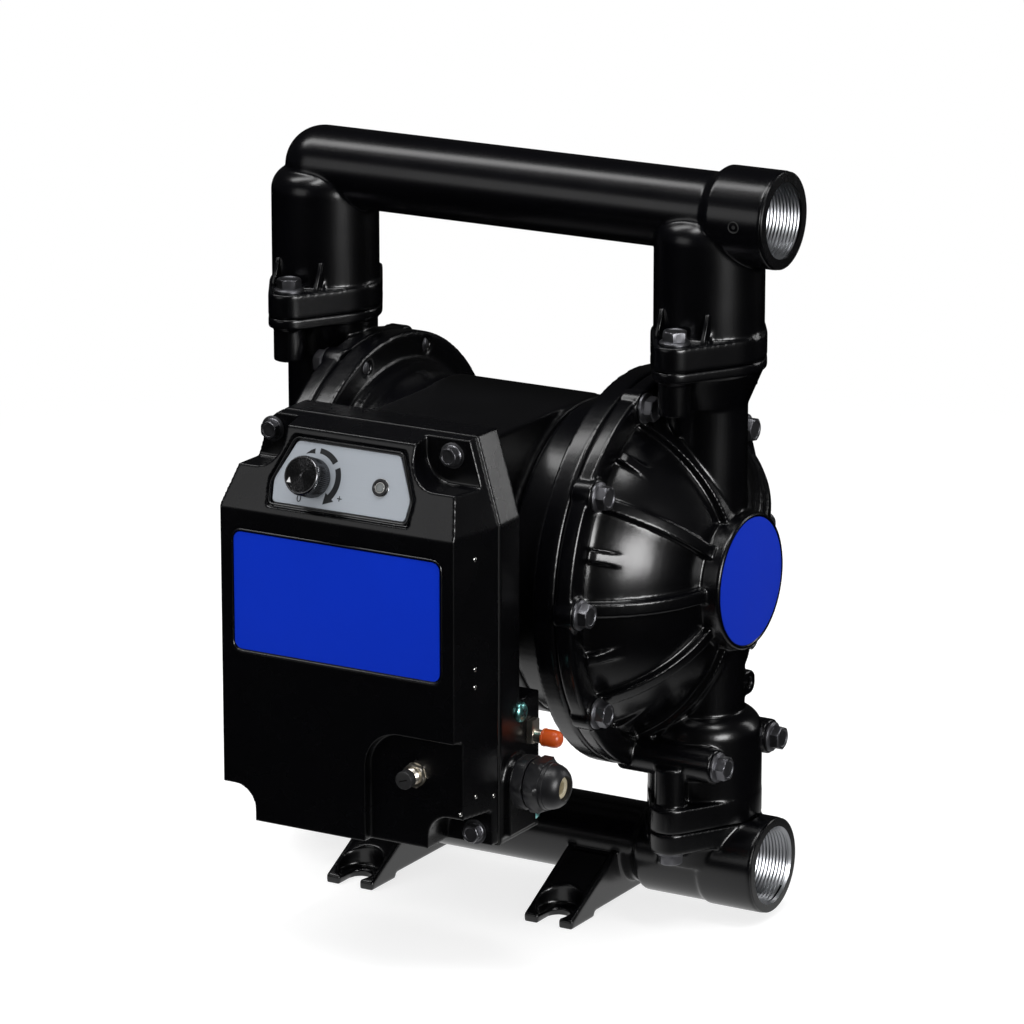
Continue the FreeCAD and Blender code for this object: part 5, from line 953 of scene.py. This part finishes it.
PANEL = rounded([(44, 7.2), (45.3, 20), (34, 43.8), (-34, 43.8), (-45.3, 20), (-44, 7.2)], 2.6)
panel = skin("panel", [[(x, y, PANEL_FACE - 1.2) for x, y in PANEL],
                       [(x, y, PANEL_FACE - 0.2) for x, y in PANEL],
                       [(x, y, PANEL_FACE) for x, y in spread(PANEL, -0.2)]])
fit(SLOPE, panel, "silver_panel", silver_panel, "control_panel_plate")
print("panel with", len(PANEL), "points in its outline")

# %% [markdown]
# A broken arrow bends round the knob from slow to fast, between the marks 0 and +. Real
# ink has no thickness, but a thin raised sign is easy to see and to export, so each mark
# is a plate less than a tenth of a millimetre high.

# %% Printed marks
INK = (PANEL_FACE - 0.05, PANEL_FACE + 0.08)
SIGN_SIZE = 6.6


def around_knob(radius, degrees):
    """Point about the knob."""
    angle = math.radians(degrees)
    return KNOB_SPOT[0] + radius * math.cos(angle), KNOB_SPOT[1] + radius * math.sin(angle)


def band(start, end, inners, outers, steps=16):
    """Mark along an arc about the knob, between angles, from one width to another."""
    outer_side, inner_side = [], []
    for step in range(steps + 1):
        share = step / steps
        for side, (first, last) in ((outer_side, outers), (inner_side, inners)):
            radius = first + (last - first) * share
            side.append(around_knob(radius, start + (end - start) * share))
    return prism("mark", outer_side + inner_side[::-1], *INK)


def letter(text, spot):
    """Thin printed sign on the panel."""
    curve = bpy.data.curves.new("sign", "FONT")
    curve.body = text
    curve.size = SIGN_SIZE * MM
    curve.align_x = curve.align_y = "CENTER"
    curve.extrude = 0.06 * MM
    sign = bpy.data.objects.new("sign", curve)
    scene.collection.objects.link(sign)
    mesh = baked(sign)
    bpy.data.objects.remove(sign)
    return set_at(Matrix.Translation(Vector((*spot, PANEL_FACE + 0.02)) * MM), mesh)


arrow = [around_knob(11.8, -36.5), around_knob(19.1, -36.5), around_knob(16.4, -58.5)]
marks = together("dial_marks", band(119, 97.5, (15.3, 14.1), (15.5, 17.1)),
                 band(85.5, 40, (14.6, 14.4), (17.6, 18.1)),
                 band(27.5, -37, (14.6, 13.6), (18.0, 17.4)),
                 prism("mark", arrow, *INK), letter("0", (-26.8, 11.2)),
                 letter("+", (-0.5, 14.1)))
fit(SLOPE, marks, "black_coat", ink)
print("marks of", len(marks.polygons), "faces")

# %% [markdown]
# ## The knob
#
# The knob is spun: its face carries fine turned grooves, which spread every lamp into a bow
# tie of light, and its rim is knurled. It turns with its own body, and so does the white
# pointer, which is how the setting is read.

# %% Knob and pointer
KNOB_RADIUS, KNURL_TEETH, KNURL_DEPTH = 11.5, 60, 0.5
SUNK = -0.2
toothed = knurl(KNOB_RADIUS, KNURL_TEETH, KNURL_DEPTH)
knob_rings = [(0.4, 10.8), (0.9, 11.3), (1.2, toothed), (13.3, toothed), (13.8, 11.0),
              (14.6, 10.9), (15.0, 10.5), (15.0, 10.2)]
grooves = [(14.82 if step % 2 else 14.92, 10.0 - 0.3 * step) for step in range(32)]
KNOB_PLACE = on_panel(KNOB_SPOT, SUNK)
spun_grey = spun("spun_grey", (0.13, 0.13, 0.135), 0.26, KNOB_PLACE.translation,
                 SLOPE.to_3x3() @ Vector((0, 0, 1)), 9000, 0.002)
knob = crisp(turned("knob", knob_rings + grooves, 240), 9)
fit(KNOB_PLACE, knob, "knob_metal", spun_grey, "speed_knob", body="speed_control")
pointer = prism("pointer", [(-8.4, -5.0), (-5.6, -5.0), (-7.0, -2.0)], 14.7, 15.02)
fit(KNOB_PLACE, pointer, "knob_metal", white_ink, body="speed_control")
print("knob with", len(grooves), "rings of grooves")

# %% [markdown]
# ## The lamp and the panel's frame
#
# The lamp is a grey lens behind a bright ring, in a black bezel. A raised bead frames the
# panel, with a small notch at its lower edge, and the plan for beads draws both.

# %% Lamp and frame
lamp_place = on_panel(LAMP_SPOT)
bezel = turned("bezel", [(-0.4, 5.1), (0.7, 5.1), (1.2, 4.7), (1.2, 3.6), (0.5, 3.0),
                         (-0.4, 3.0)], 40, around=True)
fit(lamp_place, bezel, "black_nylon", nylon, "lamp_bezel")
lens = turned("lens", [(-0.4, 2.7), (0.5, 2.7), (0.9, 2.3), (1.05, 1.3), (1.1, 0.3)], 32)
fit(lamp_place, lens, "lens", lens_grey, "lamp_lens")
ring = turned("lamp_ring", [(0.3, 3.05), (0.75, 3.05), (0.75, 2.75), (0.3, 2.75)], 40,
              around=True)
fit(lamp_place, ring, "nickel", bright_steel)
rim = turned("lamp_rim", [(-0.05, 5.5), (0.06, 5.4), (0.06, 5.1), (-0.05, 5.1)], 40, around=True)
fit(lamp_place, rim, "silver_panel", plate_metal)


def on_slope(outline, height):
    """Points of a flat outline, laid on the slope."""
    return [(SLOPE @ (Vector((x, y, height)) * MM)) / MM for x, y in outline]


bead("panel_frame", on_slope(spread(PANEL, 1.5), -0.1), 0.7, black_die)
NOTCH = [(-3.2, 3.6), (-2.6, 5.0), (-1.2, 5.6), (0.2, 5.0), (0.8, 3.6)]
notch = bead("panel_notch", on_slope(NOTCH, 0.1), 0.3, black_die, closed=False)
print("notch of", triangles(notch), "triangles")

# %% [markdown]
# ## Plates
#
# The enamelled plates are bare. Each is a plain solid whose edges are only rounded off,
# so it is copied and bevelled instead of being grown again. The front one lies in a thin
# raised frame. The small nickel elbow is made in the same way.

# %% Plates, frame and elbow
FRAME_MARGIN, FRAME_CORNER, FRAME_Y = 1.3, 7.0, -200.9


def softened(node, name, width):
    """Copy of a plain solid whose edges are rounded off."""
    piece = merged(node, name, flat=1)
    edge = piece.modifiers.new("edge", "BEVEL")
    edge.limit_method = "ANGLE"
    edge.width = width * MM
    edge.segments = 3
    settle(piece)
    crisp(piece.data, 40)
    print(name, triangles(piece), "triangles")
    return piece


for node in ("nameplate", "left_badge", "right_badge"):
    dress(softened(node, node + "_enamel", 0.25), "pump_body", "blue_plate", blue_plate, node)
low, high = (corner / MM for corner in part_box("nameplate"))
left, right = low.x - FRAME_MARGIN, high.x + FRAME_MARGIN
foot, top = low.z - FRAME_MARGIN, high.z + FRAME_MARGIN
frame_line = rounded([(left, foot), (right, foot), (right, top), (left, top)], FRAME_CORNER, 8)
bead("nameplate_frame", [(x, FRAME_Y, z) for x, z in frame_line], 0.55, black_die)
dress(softened("test_elbow", "elbow", 0.4), "pump_body", "nickel", nickel, "test_elbow")

# %% [markdown]
# ## Cable gland
#
# The gland is moulded nylon: a hexagon on the box, a cap nut with a domed end, and a rubber
# ring that would grip the cable. All three share one axis, so they are rows of rings at
# one place. A bead marks the edge of the boss under them.

# %% Gland
GLAND_Y, GLAND_Z, GLAND_HEX = -146.5, 113, 29.5
BOSS_X, BOSS_RADIUS, BOSS_STEPS = 91.0, 14.9, 72
GLAND = standing((91.3, GLAND_Y, GLAND_Z), ALONG_X, math.pi / 2)
gland = turned("gland_hex", [
    (-18, 9.8), (0, 9.8), (0, hexagon(GLAND_HEX, 15.8)), (0.9, hexagon(GLAND_HEX, 16.2)),
    (6.4, hexagon(GLAND_HEX, 16.2)), (7.2, hexagon(GLAND_HEX, 15.0)), (7.2, 9.0)])
fit(GLAND, gland, "black_nylon", nylon, "gland_body")
gland_cap = turned("gland_cap", [
    (8.1, 7.0), (8.1, hexagon(GLAND_HEX, 15.0)), (9.4, hexagon(GLAND_HEX)),
    (15.4, hexagon(GLAND_HEX)), (17.0, hexagon(GLAND_HEX, 14.8)), (17.2, 14.0), (19.2, 13.8),
    (19.4, 13.4), (22.0, 13.0), (24.4, 12.0), (26.4, 10.4), (27.6, 8.8), (28.0, 7.6),
    (27.7, 7.1), (26.6, 6.9)], 72, around=True)
fit(GLAND, gland_cap, "black_nylon", nylon, "gland_nut")
seal = turned("gland_ring", [(10, 6.9), (24.8, 6.9), (25.5, 6.3), (25.5, 5.2), (24.6, 4.2),
                             (20, 4.0), (10, 4.0)], 40, around=True)
fit(GLAND, seal, "cream_rubber", cream_rubber, "gland_seal")
boss_angles = [math.tau * step / BOSS_STEPS for step in range(BOSS_STEPS)]
boss = bead("boss_edge", [(BOSS_X, GLAND_Y + BOSS_RADIUS * math.cos(angle),
                           GLAND_Z + BOSS_RADIUS * math.sin(angle)) for angle in boss_angles],
            0.6, black_die)
print("bead of the boss on", triangles(boss), "triangles")

# %% [markdown]
# ## Connector and caps
#
# The round connector is nickel with a thread, a nut and a slotted dust cap. Its thread is
# too small to need a true spiral, so its rings only go up and down. The elbow wears an
# orange cap with a rounded end.

# %% Connector and caps
SOCKET_HEX = 13
SOCKET = standing((48.3, -194, 123.4), (0, -1, 0), 0.3)
crests = [(4.0 + 0.5 * step, 4.9 if step % 2 else 4.55) for step in range(10)]
barrel = turned("socket_barrel", [(-14, 4.6), (-0.2, 4.6), (-0.2, 7.0), (0.4, 7.0), (0.4, 4.9),
                                  *crests, (9.2, 4.6)])
fit(SOCKET, barrel, "nickel", nickel, "sensor_connector")
nut = turned("socket_nut", [
    (0.4, 4.7), (0.4, hexagon(SOCKET_HEX, 7.0)), (0.9, hexagon(SOCKET_HEX)),
    (3.0, hexagon(SOCKET_HEX)), (3.5, hexagon(SOCKET_HEX, 6.8)), (3.7, 5.8), (3.5, 4.7)],
    around=True)
fit(SOCKET, nut, "nickel", nickel, "connector_nut")
dust_cap = turned("dust_cap", [(8.4, 4.9), (8.7, 5.4), (13.2, 5.4), (13.8, 5.1), (14.0, 4.6),
                               (14.0, 0.4)], 48)
fit(SOCKET, dust_cap, "black_nylon", cap_plastic, "connector_cap")
slot_line = prism("cap_slot", [(-2.6, -0.35), (2.6, -0.35), (2.6, 0.35), (-2.6, 0.35)],
                  13.9, 14.04)
fit(SOCKET, slot_line, "black_nylon", bright_steel)
bullet = turned("bullet_cap", [(0, 4.4), (0.2, 5.2), (1.2, 5.35), (1.6, 5.1), (7.0, 5.25),
                               (9.2, 4.9), (10.8, 3.9), (11.7, 2.4), (12.0, 0.5)], 40)
fit(standing((95.3, -130, 135.4), ALONG_X), bullet, "orange_cap", orange_cap, "test_cap")
print("connector of", len(barrel.polygons), "faces")

# %% [markdown]
# ## Ground screws
#
# Two green screws mark where the earth wire goes. Their pan heads are rows of rings, and
# the cross recess is painted shade: a dark plus sign that stands a hair above each head,
# which looks the same as the shade in a cut one at this size.

# %% Ground screws
BAR, ARM = 0.45, 2.6
PLUS = [(BAR, ARM), (BAR, BAR), (ARM, BAR), (ARM, -BAR), (BAR, -BAR), (BAR, -ARM),
        (-BAR, -ARM), (-BAR, -BAR), (-ARM, -BAR), (-ARM, BAR), (-BAR, BAR), (-BAR, ARM)]
PAN_HEAD = [(-4, 2.5), (0, 2.5), (0, 5.9), (0.5, 6), (1.3, 5.7), (2.0, 4.9), (2.5, 3.6),
            (2.7, 0.5)]
screws, recess_shades = [], []
for y, z, spin in ((-141, 152, 0.5), (-125.2, 89, 1.1)):
    place = standing((86.3, y, z), ALONG_X, spin)
    screws.append(set_at(place, turned("screw", PAN_HEAD)))
    # The dark plus is painted shade, put where a cut recess would hold shade.
    recess_shades.append(set_at(place, prism("recess", PLUS, 2.2, 2.9)))
dress(new_piece("ground_heads", together("ground_heads", *screws)), "pump_body", "green_zinc",
      green_zinc, "ground_screws")
dress(new_piece("ground_recesses", together("ground_recesses", *recess_shades)), "pump_body",
      "black_coat", ink)

# %% [markdown]
# ## Finishes for the solids that stay
#
# Pieces inside the pump and small plain pieces keep their solid shape and only get a
# finish. A table says which finish goes with each.

# %% Dress the solids
FINISH_OF = {
    "drive_screw": bright_steel, "rotor_drum": bright_steel, "rotor_bearings": bright_steel,
    "knob_shaft": bright_steel, "plate_nuts": bright_steel, "outlet_ball_seats": bright_steel,
    "inlet_ball_seats": bright_steel, "left_air_plate": plate_metal,
    "right_air_plate": plate_metal, "left_fluid_plate": plate_metal,
    "right_fluid_plate": plate_metal, "drive_nut": bronze, "shaft_bushings": bronze,
    "stator_core": lamination_steel, "rotor_magnets": magnet_skin,
    "stator_coils": copper_wire, "gland_locknut": nylon, "potentiometer": nylon,
    "left_diaphragm": black_rubber, "right_diaphragm": black_rubber,
    "cover_gasket": black_rubber, "seat_seals": black_rubber,
    "left_outlet_ball": ball_plastic, "right_outlet_ball": ball_plastic,
    "left_inlet_ball": ball_plastic, "right_inlet_ball": ball_plastic,
    "circuit_board": board_lacquer, "housing_screws": dark_zinc, "board_screws": dark_zinc,
}
for node, finish in FINISH_OF.items():
    mesh = solids[node].data
    mesh.materials.clear()
    mesh.materials.append(finish)
print(len(FINISH_OF), "solids keep their shape")
